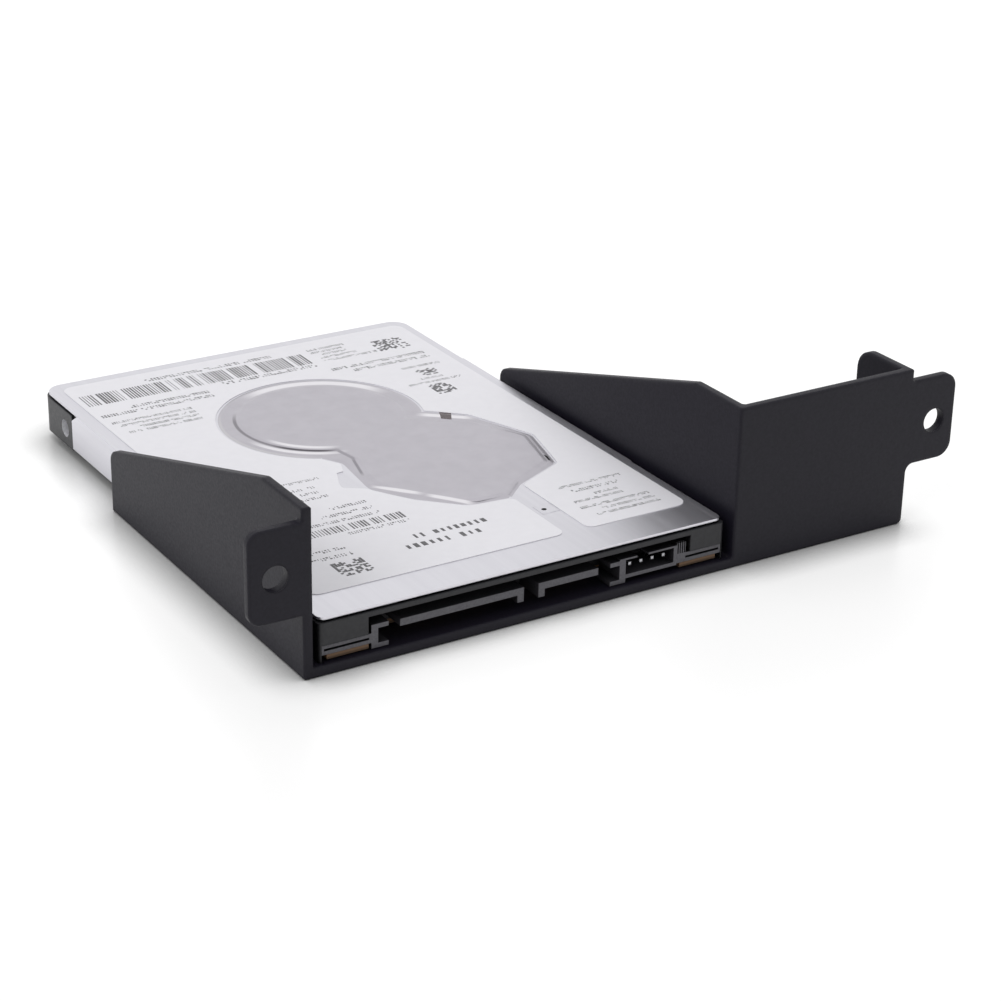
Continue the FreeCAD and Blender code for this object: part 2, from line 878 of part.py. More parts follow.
def sata_connector():
    """The moulding that carries the blades, posts, wings and jumper frame on one back wall."""
    rear = recess_depth - seat_gap
    foot = board_top + seat_gap
    blade_rear = back_wall_y
    pieces = [
        box(recess_left + seat_gap, recess_right - seat_gap, back_wall_y, rear, foot, recess_top - seat_gap),
        box(power_blade_left, power_blade_right, blade_tip_y, blade_rear, blade_bottom, blade_top),
        box(power_blade_right - leg_width, power_blade_right, blade_tip_y, blade_rear,
            blade_bottom - leg_drop, blade_bottom),
        box(signal_blade_left, signal_blade_right, blade_tip_y, blade_rear, blade_bottom, blade_top),
        box(signal_blade_left, signal_blade_left + leg_width, blade_tip_y, blade_rear,
            blade_bottom - leg_drop, blade_bottom),
        connector_wing(-wing_space_half_width + seat_gap, left_post_x),
        connector_wing(jumper_frame_right, wing_space_half_width - seat_gap),
    ]
    pieces += guide_post(left_post_x, 1)
    pieces += guide_post(right_post_x, -1)
    pieces += jumper_frame()
    body = union(pieces)
    return body.cut(power_contacts() + signal_contacts() + jumper_pins())


# Disc and motor


def spindle_shaft():
    """The fixed shaft, pressed into the base, with a cap that keeps the hub down."""
    top = disc_top + clamp_thickness + shaft_cap_thickness
    shaft = cylinder(shaft_radius, 0, spindle_y, rear_floor_bottom, top)
    cap = cylinder(shaft_cap_radius, 0, spindle_y, disc_top + running_clearance * 2, top)
    return shaft.fuse(cap).removeSplitter()


def motor_stator():
    """The stator: a ring with teeth, on the base's floor inside the hub."""
    top = floor_top + stator_height
    ring = cylinder(stator_ring_radius, 0, spindle_y, floor_top, top)
    shapes = [ring]
    half = stator_tooth_width / 2
    for i in range(stator_teeth):
        tooth_end = stator_outer_radius - half
        tooth = box(stator_inner_radius, tooth_end, -half, half, floor_top, top)
        head = box(tooth_end - half, tooth_end, -2 * half, 2 * half, floor_top, top)
        shape = tooth.fuse(head).rotated(Vector(0, 0, 0), UP, i * 360 / stator_teeth)
        shapes.append(shape.translated(Vector(0, spindle_y, 0)))
    bore = cylinder(stator_inner_radius, 0, spindle_y, 0, drive_height)
    return union(shapes).cut(bore)


def spindle_hub():
    """The hub: a sleeve on the shaft, a top plate, and a skirt with the lip under the disc."""
    bore = shaft_radius + running_clearance
    seat = disc_bore_radius - hub_bore_fit
    lip = disc_bore_radius + hub_lip
    return turned([
        (bore, hub_bottom),
        (sleeve_radius, hub_bottom),
        (sleeve_radius, hub_plate_bottom),
        (hub_skirt_inner_radius, hub_plate_bottom),
        (hub_skirt_inner_radius, hub_bottom),
        (lip, hub_bottom),
        (lip, disc_bottom),
        (seat, disc_bottom),
        (seat, disc_top),
        (bore, disc_top),
    ], 0, spindle_y)


def rotor_magnet():
    """The ring magnet inside the hub's skirt."""
    inner = hub_skirt_inner_radius - rotor_magnet_thickness
    return turned([
        (inner, hub_bottom),
        (hub_skirt_inner_radius, hub_bottom),
        (hub_skirt_inner_radius, hub_plate_bottom),
        (inner, hub_plate_bottom),
    ], 0, spindle_y)


def platter():
    """The disc."""
    disc = cylinder(disc_radius, 0, spindle_y, disc_bottom, disc_top)
    return disc.cut(cylinder(disc_bore_radius, 0, spindle_y, 0, drive_height))


def disc_clamp():
    """The sprung ring that presses the disc onto the hub's lip."""
    top = disc_top + clamp_thickness
    ring = cylinder(disc_bore_radius + hub_lip, 0, spindle_y, disc_top, top)
    return ring.cut(cylinder(clamp_bore_radius, 0, spindle_y, 0, drive_height))


# Head stack


def pivot_post():
    """The fixed post that the head stack turns on."""
    post = cylinder(post_radius, pivot_x, pivot_y, pocket_ceiling, post_top_z)
    flange = cylinder(post_flange_radius, pivot_x, pivot_y, floor_top, post_flange_top)
    return post.fuse(flange).removeSplitter()


def pivot_sleeve():
    """The bearing sleeve in the head stack's bore."""
    bottom = post_flange_top + running_clearance
    inner = post_radius + running_clearance
    top = upper_arm_bottom + arm_thickness
    return turned([
        (inner, bottom),
        (pivot_sleeve_radius, bottom),
        (pivot_sleeve_radius, top),
        (inner, top),
    ], pivot_x, pivot_y)


def arm_plan():
    """Plan of one arm along +x, wide at the block and narrow at its end."""
    return [
        (0, -arm_root_width / 2, 0),
        (arm_reach, -arm_tip_width / 2, arm_tip_width / 4),
        (arm_reach, arm_tip_width / 2, arm_tip_width / 4),
        (0, arm_root_width / 2, 0),
    ]


def coil_plan(margin, radius):
    """Plan of the coil along -x: a tapered outline, grown by a margin."""
    spread = math.tan(math.radians(coil_half_angle))
    inner = coil_inner_reach - margin
    outer = coil_outer_reach + margin
    return [
        (-inner, -inner * spread - margin, radius),
        (-inner, inner * spread + margin, radius),
        (-outer, outer * spread + margin, radius),
        (-outer, -outer * spread - margin, radius),
    ]


def head_arms():
    """The arm block: two arms over and under the disc, and the frame round the coil."""
    lower_bottom = lower_arm_top - arm_thickness
    upper_top = upper_arm_bottom + arm_thickness
    coil_top = coil_bottom + coil_thickness
    neck = [
        (0, -arm_root_width / 2, 0),
        (0, arm_root_width / 2, 0),
        (-coil_inner_reach, arm_root_width / 2, 0),
        (-coil_inner_reach, -arm_root_width / 2, 0),
    ]
    body = union([
        Part.makeCylinder(arm_block_radius, upper_top - lower_bottom, Vector(0, 0, lower_bottom), UP),
        flat_plate(arm_plan(), lower_bottom, lower_arm_top),
        flat_plate(arm_plan(), upper_arm_bottom, upper_top),
        flat_plate(neck, coil_bottom, coil_top),
        flat_plate(coil_plan(carrier_rim, coil_corner_radius + carrier_rim), coil_bottom, coil_top),
    ])
    bore = Part.makeCylinder(pivot_sleeve_radius, drive_height, Vector(0, 0, 0), UP)
    seat = flat_plate(coil_plan(0, coil_corner_radius), 0, drive_height)
    core = Part.makeCylinder(arm_block_radius, upper_top - lower_bottom, Vector(0, 0, lower_bottom), UP)
    return arm_frame(body.cut(seat.cut(core)).cut(bore))


def voice_coil():
    """The flat coil in the frame behind the pivot."""
    loop = flat_plate(coil_plan(0, coil_corner_radius), coil_bottom, coil_bottom + coil_thickness)
    window = flat_plate(coil_plan(-coil_turn_width, coil_window_radius), 0, drive_height)
    return arm_frame(loop.cut(window))


def suspensions():
    """Two thin springs from the arms' ends to the heads, with a lift tab at each tip."""
    lower = lower_arm_top
    upper = upper_arm_bottom - suspension_thickness
    tip = arm_length + lift_tab_length
    plan = [
        (arm_reach - arm_tip_width, -arm_tip_width / 2, 0),
        (arm_reach, -arm_tip_width / 2, 0),
        (arm_length, -suspension_width / 2, 0),
        (arm_length + slider_length / 2, -lift_tab_width / 2, 0),
        (tip, -lift_tab_width / 2, 0),
        (tip, lift_tab_width / 2, 0),
        (arm_length + slider_length / 2, lift_tab_width / 2, 0),
        (arm_length, suspension_width / 2, 0),
        (arm_reach, arm_tip_width / 2, 0),
        (arm_reach - arm_tip_width, arm_tip_width / 2, 0),
    ]
    sheets = [flat_plate(plan, z, z + suspension_thickness) for z in (lower, upper)]
    return group([arm_frame(sheet) for sheet in sheets])


def head_sliders():
    """The two read and write heads, one under and one over the disc."""
    x0 = arm_length - slider_length / 2
    x1 = arm_length + slider_length / 2
    half = slider_width / 2
    lower_bottom = lower_arm_top + suspension_thickness
    upper_top = upper_arm_bottom - suspension_thickness
    lower = box(x0, x1, -half, half, lower_bottom, disc_bottom - flying_gap)
    upper = box(x0, x1, -half, half, disc_top + flying_gap, upper_top)
    return group([arm_frame(lower), arm_frame(upper)])


# Magnet of the coil motor


def yoke_post_places():
    """Centres of the two posts that hold the upper yoke."""
    angles = (yoke_start_angle + yoke_post_inset_angle, yoke_end_angle - yoke_post_inset_angle)
    return [polar(pivot_x, pivot_y, yoke_post_reach, angle) for angle in angles]


def yoke_plate(z0):
    """A yoke: a sector about the pivot with a lug at each post."""
    z1 = z0 + yoke_thickness
    plate = sector(
        pivot_x, pivot_y, yoke_inner_radius, yoke_outer_radius, yoke_start_angle, yoke_end_angle, z0, z1)
    lugs = [cylinder(yoke_lug_radius, x, y, z0, z1) for x, y in yoke_post_places()]
    return union([plate] + lugs)


def lower_yoke():
    """The yoke on the base's floor, with the posts for the upper one."""
    posts = []
    for x, y in yoke_post_places():
        posts.append(cylinder(yoke_post_radius, x, y, floor_top, upper_yoke_bottom))
    return union([yoke_plate(floor_top)] + posts)


def upper_yoke():
    """The yoke above the coil."""
    return yoke_plate(upper_yoke_bottom)


def coil_magnets():
    """The two poles that lie on the lower yoke."""
    z0 = floor_top + yoke_thickness
    z1 = z0 + magnet_thickness
    start = yoke_start_angle + yoke_margin_angle
    end = yoke_end_angle - yoke_margin_angle
    middle = (start + end) / 2
    inner = yoke_inner_radius + magnet_inset
    outer = yoke_outer_radius - magnet_inset
    return group([
        sector(pivot_x, pivot_y, inner, outer, start, middle - magnet_gap_angle / 2, z0, z1),
        sector(pivot_x, pivot_y, inner, outer, middle + magnet_gap_angle / 2, end, z0, z1),
    ])


# Ramp, filter and head circuit


def parking_ramp():
    """The ramp: a finger between the lift tabs, on a post beyond their tips."""
    tip = arm_length + lift_tab_length
    finger_start = arm_length + slider_length / 2 + ramp_start
    finger_bottom = lower_arm_top + suspension_thickness + ramp_clearance
    finger_top = upper_arm_bottom - suspension_thickness - ramp_clearance
    start = park_angle - ramp_width_angle / 2
    end = park_angle + ramp_width_angle
    post_inner = tip + ramp_post_gap
    finger = sector(pivot_x, pivot_y, finger_start, post_inner, start, end, finger_bottom, finger_top)
    post = sector(pivot_x, pivot_y, post_inner, post_inner + ramp_post_length, start, end,
                  floor_top, finger_top)
    keep_clear = cylinder(disc_radius + disc_clearance, 0, spindle_y, 0, drive_height)
    return union([finger, post]).cut(keep_clear)


def air_filter():
    """The filter that stands beside the disc."""
    x, y = filter_corner
    width, length, height = filter_size
    return box(x, x + width, y, y + length, floor_top, floor_top + height)


def flex_header():
    """The block that takes the head circuit through the base's floor."""
    x, y = header_corner
    width, length, height = header_size
    return box(x, x + width, y, y + length, floor_top, floor_top + height)


def flex_cable():
    """The head circuit's strip, on edge from the header towards the pivot."""
    z = floor_top + header_size[2]
    arc = Part.Arc(Vector(*flex_start, z), Vector(*flex_middle, z), Vector(*flex_end, z))
    spine = Part.Wire(arc.toShape())
    strip = spine.makeOffset2D(flex_thickness, join=2, fill=True, openResult=True)
    return strip.extrude(Vector(0, 0, flex_height))


def write(name, shape):
    """Writes one node to its file."""
    shape.exportStep(os.path.join("parts", name + ".step"))


def main():
    """Builds every node and writes it."""
    os.makedirs("parts", exist_ok=True)
    write("holder_bracket", holder_bracket())
    write("holder_screws", holder_screws())
    drive_nodes = {
        "drive_base": drive_base(),
        "drive_cover": drive_cover(),
        "cover_gasket": cover_gasket(),
        "cover_label": cover_label(),
        "circuit_board": circuit_board(),
        "board_chips": board_chips(),
        "sata_connector": sata_connector(),
        "power_contacts": group(power_contacts()),
        "signal_contacts": group(signal_contacts()),
        "jumper_pins": group(jumper_pins()),
        "spindle_shaft": spindle_shaft(),
        "motor_stator": motor_stator(),
        "spindle_hub": spindle_hub(),
        "rotor_magnet": rotor_magnet(),
        "platter": platter(),
        "disc_clamp": disc_clamp(),
        "pivot_post": pivot_post(),
        "pivot_sleeve": pivot_sleeve(),
        "head_arms": head_arms(),
        "voice_coil": voice_coil(),
        "suspensions": suspensions(),
        "head_sliders": head_sliders(),
        "lower_yoke": lower_yoke(),
        "upper_yoke": upper_yoke(),
        "coil_magnets": coil_magnets(),
        "parking_ramp": parking_ramp(),
        "air_filter": air_filter(),
        "flex_header": flex_header(),
        "flex_cable": flex_cable(),
    }
    for name, shape in drive_nodes.items():
        write(name, place_in_holder(shape))


main()
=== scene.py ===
"""Looks of the drive holder and of the hard disk drive that is screwed into it.

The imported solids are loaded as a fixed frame. Each sub-assembly below dresses its own solids
and adds what is too fine for them, such as the print on the label. Lengths in names that end
in _mm are millimetres, and all other lengths are metres.
"""

import logging
import math
from abc import ABC, abstractmethod
from dataclasses import dataclass, field
from enum import Enum
from typing import ClassVar

import bpy
from mathutils import Matrix, Vector
from mathutils.bvhtree import BVHTree


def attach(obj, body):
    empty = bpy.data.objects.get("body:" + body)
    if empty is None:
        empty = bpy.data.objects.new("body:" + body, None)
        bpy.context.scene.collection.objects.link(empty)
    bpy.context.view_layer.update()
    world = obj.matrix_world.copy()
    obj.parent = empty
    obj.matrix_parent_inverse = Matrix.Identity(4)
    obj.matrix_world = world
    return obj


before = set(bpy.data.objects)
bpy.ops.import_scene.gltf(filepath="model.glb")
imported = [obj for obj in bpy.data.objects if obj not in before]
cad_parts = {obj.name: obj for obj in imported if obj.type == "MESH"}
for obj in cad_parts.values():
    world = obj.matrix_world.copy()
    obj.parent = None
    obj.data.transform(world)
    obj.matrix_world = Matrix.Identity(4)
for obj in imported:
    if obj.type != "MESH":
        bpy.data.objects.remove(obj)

LOG = logging.getLogger("holder")
MM = 0.001
HOLDER_BODY = "holder"
DRIVE_FRONT_Y_MM = -32.2
DRIVE_UNDERSIDE_MM = 1.5

# The sRGB curve is a straight line up to the knee and a power above it
SRGB_KNEE = 0.04045
SRGB_SLOPE = 12.92
SRGB_OFFSET = 0.055
SRGB_POWER = 2.4

# A mix node has one set of sockets for each data type, and these are the colour ones
MIX_FIRST = 6
MIX_SECOND = 7
MIX_RESULT = 2


# Helpers


def linear(code: str) -> tuple[float, float, float, float]:
    """Turns an sRGB hex colour into linear values.

    Args:
        code: six hex digits, with or without a leading #.

    Returns:
        Red, green, blue and an alpha of 1.
    """
    digits = code.lstrip("#")
    values = []
    for start in (0, 2, 4):
        value = int(digits[start:start + 2], 16) / 255
        if value <= SRGB_KNEE:
            values.append(value / SRGB_SLOPE)
        else:
            values.append(((value + SRGB_OFFSET) / (1 + SRGB_OFFSET)) ** SRGB_POWER)
    return values[0], values[1], values[2], 1.0


def add_node(tree: bpy.types.NodeTree, kind: str, settings: dict[str, object] | None = None,
             values: dict[str | int, object] | None = None,
             links: dict[str | int, bpy.types.NodeSocket] | None = None) -> bpy.types.Node:
    """Adds one node with its settings, input values and incoming links.

    Args:
        tree: the node tree that gets the node.
        kind: the node's type name.
        settings: attribute name to value.
        values: input name or index to a constant.
        links: input name or index to the output socket that feeds it.

    Returns:
        The new node.
    """
    node = tree.nodes.new(kind)
    for name, value in (settings or {}).items():
        setattr(node, name, value)
    for key, value in (values or {}).items():
        node.inputs[key].default_value = value
    for key, socket in (links or {}).items():
        tree.links.new(socket, node.inputs[key])
    return node


def drive_point(x_mm: float, y_mm: float, z_mm: float) -> Vector:
    """A point given in the drive's own frame, in the part's frame and in metres."""
    return Vector((x_mm, y_mm + DRIVE_FRONT_Y_MM, z_mm + DRIVE_UNDERSIDE_MM)) * MM


def new_object(name: str, mesh: bpy.types.Mesh) -> bpy.types.Object:
    """Puts a mesh into the scene as an object at the origin."""
    thing = bpy.data.objects.new(name, mesh)
    bpy.context.scene.collection.objects.link(thing)
    return thing


def join_meshes(name: str, meshes: list[bpy.types.Mesh]) -> bpy.types.Object:
    """Joins several meshes into one object.

    Args:
        name: the object's name.
        meshes: meshes that already stand in the part's frame.

    Returns:
        The joined object, at the origin.
    """
    things = [new_object(f"{name}_{i}", mesh) for i, mesh in enumerate(meshes)]
    with bpy.context.temp_override(active_object=things[0], selected_editable_objects=things):
        bpy.ops.object.join()
    things[0].name = name
    things[0].data.name = name
    return things[0]


# Finishes


class Grain(Enum):
    """The surface patterns that a finish can carry."""

    SPECKLE = "speckle"
    BRUSHED = "brushed"
    TURNED = "turned"
    LAYERED = "layered"


@dataclass(frozen=True)
class Stroke(ABC):
    """A soft stroke of painted highlight or painted shade in a finish, lighter or darker than the
    metal round it.
    """

    CORE_SHARE: ClassVar[float] = 0.4

    colour: str
    half_width_mm: float

    def over(self, tree: bpy.types.NodeTree, place: bpy.types.NodeSocket,
             paint: bpy.types.NodeSocket) -> bpy.types.NodeSocket:
        """Lays the stroke over a colour.

        Args:
            tree: the material's node tree.
            place: the place on the object.
            paint: the colour so far.

        Returns:
            The colour with the stroke on it.
        """
        flat = add_node(tree, "ShaderNodeVectorMath", {"operation": "MULTIPLY"}, {1: (1, 1, 0)},
                        {0: place}).outputs[0]
        edge = self.half_width_mm * MM
        amount = add_node(
            tree, "ShaderNodeMapRange", {"interpolation_type": "SMOOTHSTEP"},
            {"From Min": edge, "From Max": self.CORE_SHARE * edge}, {0: self.distance(tree, flat)})
        share = add_node(tree, "ShaderNodeMath", {"operation": "MULTIPLY"}, {}, {
            0: amount.outputs[0], 1: self.reach(tree, flat)})
        mixed = add_node(
            tree, "ShaderNodeMix", {"data_type": "RGBA"}, {MIX_SECOND: linear(self.colour)},
            {0: share.outputs[0], MIX_FIRST: paint})
        return mixed.outputs[MIX_RESULT]

    @abstractmethod
    def distance(self, tree: bpy.types.NodeTree,
                 flat: bpy.types.NodeSocket) -> bpy.types.NodeSocket:
        """Adds the nodes that measure how far a place is from the stroke's middle line.

        Args:
            tree: the material's node tree.
            flat: the place, in plan.

        Returns:
            A socket with the distance in metres.
        """

    @abstractmethod
    def reach(self, tree: bpy.types.NodeTree, flat: bpy.types.NodeSocket) -> bpy.types.NodeSocket:
        """Adds the nodes that fade the stroke out towards its ends.

        Args:
            tree: the material's node tree.
            flat: the place, in plan.

        Returns:
            A socket that is 1 along the stroke and 0 beyond its ends.
        """


@dataclass(frozen=True)
class Line(Stroke):
    """A straight stroke from one point to another."""

    FADE_FROM: ClassVar[float] = 0.25

    start_mm: tuple[float, float]
    end_mm: tuple[float, float]

    def along(self, tree: bpy.types.NodeTree,
              offset: bpy.types.NodeSocket) -> bpy.types.NodeSocket:
        """Adds the node that measures an offset along the stroke, whose whole length is 1."""
        run = self.run()
        return add_node(tree, "ShaderNodeVectorMath", {"operation": "DOT_PRODUCT"},
                        {1: run / run.length_squared}, {0: offset}).outputs["Value"]

    def run(self) -> Vector:
        """The way from the stroke's start to its end."""
        return drive_point(*self.end_mm, 0) - drive_point(*self.start_mm, 0)

    def distance(self, tree: bpy.types.NodeTree,
                 flat: bpy.types.NodeSocket) -> bpy.types.NodeSocket:
        """Adds the nodes that measure how far a place is from the line.

        Args:
            tree: the material's node tree.
            flat: the place, in plan.

        Returns:
            A socket with the distance in metres.
        """
        start = drive_point(*self.start_mm, 0)
        start.z = 0
        offset = add_node(tree, "ShaderNodeVectorMath", {"operation": "SUBTRACT"}, {1: start},
                          {0: flat})
        held = add_node(tree, "ShaderNodeClamp", {}, {}, {0: self.along(tree, offset.outputs[0])})
        foot = add_node(tree, "ShaderNodeVectorMath", {"operation": "SCALE"}, {0: self.run()},
                        {"Scale": held.outputs[0]})
        return add_node(tree, "ShaderNodeVectorMath", {"operation": "DISTANCE"}, {}, {
            0: offset.outputs[0], 1: foot.outputs[0]}).outputs["Value"]

    def reach(self, tree: bpy.types.NodeTree, flat: bpy.types.NodeSocket) -> bpy.types.NodeSocket:
        """Adds the nodes that fade the line towards its two ends.

        Args:
            tree: the material's node tree.
            flat: the place, in plan.

        Returns:
            A socket that is 1 in the line's middle half and 0 at its ends.
        """
        middle = (drive_point(*self.start_mm, 0) + drive_point(*self.end_mm, 0)) / 2
        middle.z = 0
        offset = add_node(tree, "ShaderNodeVectorMath", {"operation": "SUBTRACT"}, {1: middle},
                          {0: flat})
        off = add_node(tree, "ShaderNodeMath", {"operation": "ABSOLUTE"}, {},
                       {0: self.along(tree, offset.outputs[0])})
        return add_node(tree, "ShaderNodeMapRange", {"interpolation_type": "SMOOTHSTEP"},
                        {"From Min": 0.5, "From Max": self.FADE_FROM},
                        {0: off.outputs[0]}).outputs[0]


@dataclass(frozen=True)
class Arc(Stroke):
    """A stroke round a centre, between two angles in degrees, with a fade in degrees."""

    centre_mm: tuple[float, float]
    radius_mm: float
    angles: tuple[float, float]
    fade: float

    def offset(self, tree: bpy.types.NodeTree, flat: bpy.types.NodeSocket) -> bpy.types.NodeSocket:
        """Adds the node that gives the way from the arc's centre to a place.

        Args:
            tree: the material's node tree.
            flat: the place, in plan.

        Returns:
            A socket with the way.
        """
        centre = drive_point(*self.centre_mm, 0)
        centre.z = 0
        return add_node(tree, "ShaderNodeVectorMath", {"operation": "SUBTRACT"}, {1: centre},
                        {0: flat}).outputs[0]

    def distance(self, tree: bpy.types.NodeTree,
                 flat: bpy.types.NodeSocket) -> bpy.types.NodeSocket:
        """Adds the nodes that measure how far a place is from the circle.

        Args:
            tree: the material's node tree.
            flat: the place, in plan.

        Returns:
            A socket with the distance in metres.
        """
        length = add_node(tree, "ShaderNodeVectorMath", {"operation": "LENGTH"}, {},
                          {0: self.offset(tree, flat)})
        off = add_node(tree, "ShaderNodeMath", {"operation": "SUBTRACT"}, {1: self.radius_mm * MM},
                       {0: length.outputs["Value"]})
        return add_node(tree, "ShaderNodeMath", {"operation": "ABSOLUTE"}, {},
                        {0: off.outputs[0]}).outputs[0]

    def reach(self, tree: bpy.types.NodeTree, flat: bpy.types.NodeSocket) -> bpy.types.NodeSocket:
        """Adds the nodes that fade the arc in from its two angles.

        Args:
            tree: the material's node tree.
            flat: the place, in plan.

        Returns:
            A socket that is 0 from the two angles outwards and 1 once the fade is past.
        """
        middle = math.radians(sum(self.angles) / 2)
        half = (self.angles[1] - self.angles[0]) / 2
        way = add_node(tree, "ShaderNodeVectorMath", {"operation": "NORMALIZE"}, {},
                       {0: self.offset(tree, flat)})
        facing = add_node(tree, "ShaderNodeVectorMath", {"operation": "DOT_PRODUCT"},
                          {1: (math.cos(middle), math.sin(middle), 0)}, {0: way.outputs[0]})
        ends = math.cos(math.radians(half))
        full = math.cos(math.radians(max(half - self.fade, 0)))
        return add_node(tree, "ShaderNodeMapRange", {"interpolation_type": "SMOOTHSTEP"},
                        {"From Min": ends, "From Max": full},
                        {0: facing.outputs["Value"]}).outputs[0]


@dataclass(frozen=True)
class Finish:
    """A material's look: its two colours, its gloss and the pattern in its surface.

    The pattern mixes the two colours and the two roughness values. Its relief is depth_mm deep.
    Edges look rounded by edge_mm, and walls nearer than hollow_mm darken the finish between them
    with painted shade.
    """

    EDGE_SAMPLES: ClassVar[int] = 4
    HOLLOW_SAMPLES: ClassVar[int] = 4
    HOLLOW_RANGE: ClassVar[tuple[float, float]] = (0.3, 0.75)
    RING_WOBBLE: ClassVar[float] = 1.5
    LAYER_WOBBLE: ClassVar[float] = 0.6
    BRUSHED_STRETCH: ClassVar[tuple[float, float, float]] = (1, 0.03, 1)
    SPECKLE_RANGE: ClassVar[tuple[float, float]] = (0.3, 0.7)

    name: str
    colour: str
    shade: str
    roughness: tuple[float, float]
    metallic: float = 0.0
    specular: float = 0.5
    grain: Grain = Grain.SPECKLE
    grain_mm: float = 0.5
    depth_mm: float = 0.01
    edge_mm: float = 0.0
    hollow_mm: float = 0.0
    hollow_shade_colour: str = "#0A0A0B"
    centre_mm: tuple[float, float] = (0.0, 0.0)
    strokes: tuple[Stroke, ...] = ()

    def material(self) -> bpy.types.Material:
        """Builds the material, or finds it if it is there already."""
        found = bpy.data.materials.get(self.name)
        if found:
            return found
        made = bpy.data.materials.new(self.name)
        made.use_nodes = True
        tree = made.node_tree
        tree.nodes.clear()
        pattern = self.pattern(tree)
        colour = add_node(
            tree, "ShaderNodeMix", {"data_type": "RGBA"},
            {MIX_FIRST: linear(self.colour), MIX_SECOND: linear(self.shade)}, {0: pattern})
        gloss = add_node(tree, "ShaderNodeMapRange", {},
                         {"To Min": self.roughness[0], "To Max": self.roughness[1]}, {0: pattern})
        bump = add_node(tree, "ShaderNodeBump", {},
                        {"Strength": 1.0, "Distance": self.depth_mm * MM}, {"Height": pattern})
        if self.edge_mm:
            edge = add_node(tree, "ShaderNodeBevel", {"samples": self.EDGE_SAMPLES},
                            {"Radius": self.edge_mm * MM})
            tree.links.new(edge.outputs[0], bump.inputs["Normal"])
        paint = colour.outputs[MIX_RESULT]
        # Painted shade: where walls stand close, ambient occlusion mixes the shade colour into the
        # paint
        if self.hollow_mm:
            open_share = add_node(
                tree, "ShaderNodeAmbientOcclusion", {"samples": self.HOLLOW_SAMPLES},
                {"Distance": self.hollow_mm * MM})
            shut, clear = self.HOLLOW_RANGE
            depth = add_node(tree, "ShaderNodeMapRange", {}, {"From Min": shut, "From Max": clear},
                             {0: open_share.outputs["AO"]})
            darkened = add_node(
                tree, "ShaderNodeMix", {"data_type": "RGBA"},
                {MIX_FIRST: linear(self.hollow_shade_colour)}, {0: depth.outputs[0], MIX_SECOND: paint})
            paint = darkened.outputs[MIX_RESULT]
        # Strokes of painted highlight and painted shade go over the colour
        if self.strokes:
            place = add_node(tree, "ShaderNodeTexCoord").outputs["Object"]
            for stroke in self.strokes:
                paint = stroke.over(tree, place, paint)
        shader = add_node(
            tree, "ShaderNodeBsdfPrincipled", {},
            {"Metallic": self.metallic, "Specular IOR Level": self.specular},
            {"Base Color": paint, "Roughness": gloss.outputs[0], "Normal": bump.outputs[0]})
        add_node(tree, "ShaderNodeOutputMaterial", {}, {}, {0: shader.outputs[0]})
        return made

    def pattern(self, tree: bpy.types.NodeTree) -> bpy.types.NodeSocket:
        """Adds the nodes of the surface pattern.

        Args:
            tree: the material's node tree.

        Returns:
            A socket that runs from 0 to 1 over the pattern.
        """
        place = add_node(tree, "ShaderNodeTexCoord").outputs["Object"]
        per_metre = 1 / (self.grain_mm * MM)
        # At this scale each light or dark stripe of a wave is one grain wide
        wave_scale = per_metre / math.tau
        if self.grain is Grain.TURNED:
            x, y = (-value * MM for value in self.centre_mm)
            centred = add_node(tree, "ShaderNodeMapping", {}, {"Location": (x, y, 0)}, {0: place})
            rings = add_node(
                tree, "ShaderNodeTexWave", {"wave_type": "RINGS", "rings_direction": "Z"},
                {"Scale": wave_scale, "Distortion": self.RING_WOBBLE, "Detail": 1.0},
                {0: centred.outputs[0]})
            return rings.outputs["Fac"]
        if self.grain is Grain.LAYERED:
            layers = add_node(
                tree, "ShaderNodeTexWave", {"wave_type": "BANDS", "bands_direction": "Z"},
                {"Scale": wave_scale, "Distortion": self.LAYER_WOBBLE, "Detail": 2.0}, {0: place})
            return layers.outputs["Fac"]
        stretch = self.BRUSHED_STRETCH if self.grain is Grain.BRUSHED else (1, 1, 1)
        stretched = add_node(tree, "ShaderNodeMapping", {}, {"Scale": stretch}, {0: place})
        noise = add_node(tree, "ShaderNodeTexNoise", {}, {"Scale": per_metre, "Detail": 3.0},
                         {0: stretched.outputs[0]})
        low, high = self.SPECKLE_RANGE
        spread = add_node(tree, "ShaderNodeMapRange", {}, {"From Min": low, "From Max": high},
                          {0: noise.outputs[0]})
        return spread.outputs[0]


# Powder paint on sheet steel: matt black with a fine orange-peel grain, thick and soft at edges
POWDER_BLACK = Finish("powder_coated_steel", "#17151F", "#14121B", (0.46, 0.54), specular=0.245,
                      grain_mm=0.4, depth_mm=0.004, edge_mm=0.8)
# Electrophoretic paint on die cast aluminium: near black, smoother and a little glossier, with
# painted shade in its hollows
CAST_BLACK = Finish("coated_die_casting", "#2A2A2D", "#242427", (0.36, 0.46), specular=0.35,
                    grain_mm=0.5, depth_mm=0.004, edge_mm=0.25, hollow_mm=2.0)
# Bare cut aluminium in the side holes: finely roughened and bright at the mouth, with painted
# shade darkening it inside
CUT_ALUMINIUM = Finish("bare_cut_aluminium", "#F4F4F6", "#E8E8EC", (0.6, 0.7), metallic=1.0,
                       grain_mm=0.2, depth_mm=0.004, hollow_mm=1.6, hollow_shade_colour="#3A3A3D")
# Nickel plated rolled steel: pale satin, with faint rolling marks, drawn coarser than they are so
# that they show
PLATED_STEEL = Finish("nickel_plated_sheet", "#DBDAE0", "#D9D8DE", (0.38, 0.46), metallic=1.0,
                      grain=Grain.BRUSHED, grain_mm=0.9, depth_mm=0.0004, edge_mm=0.15)
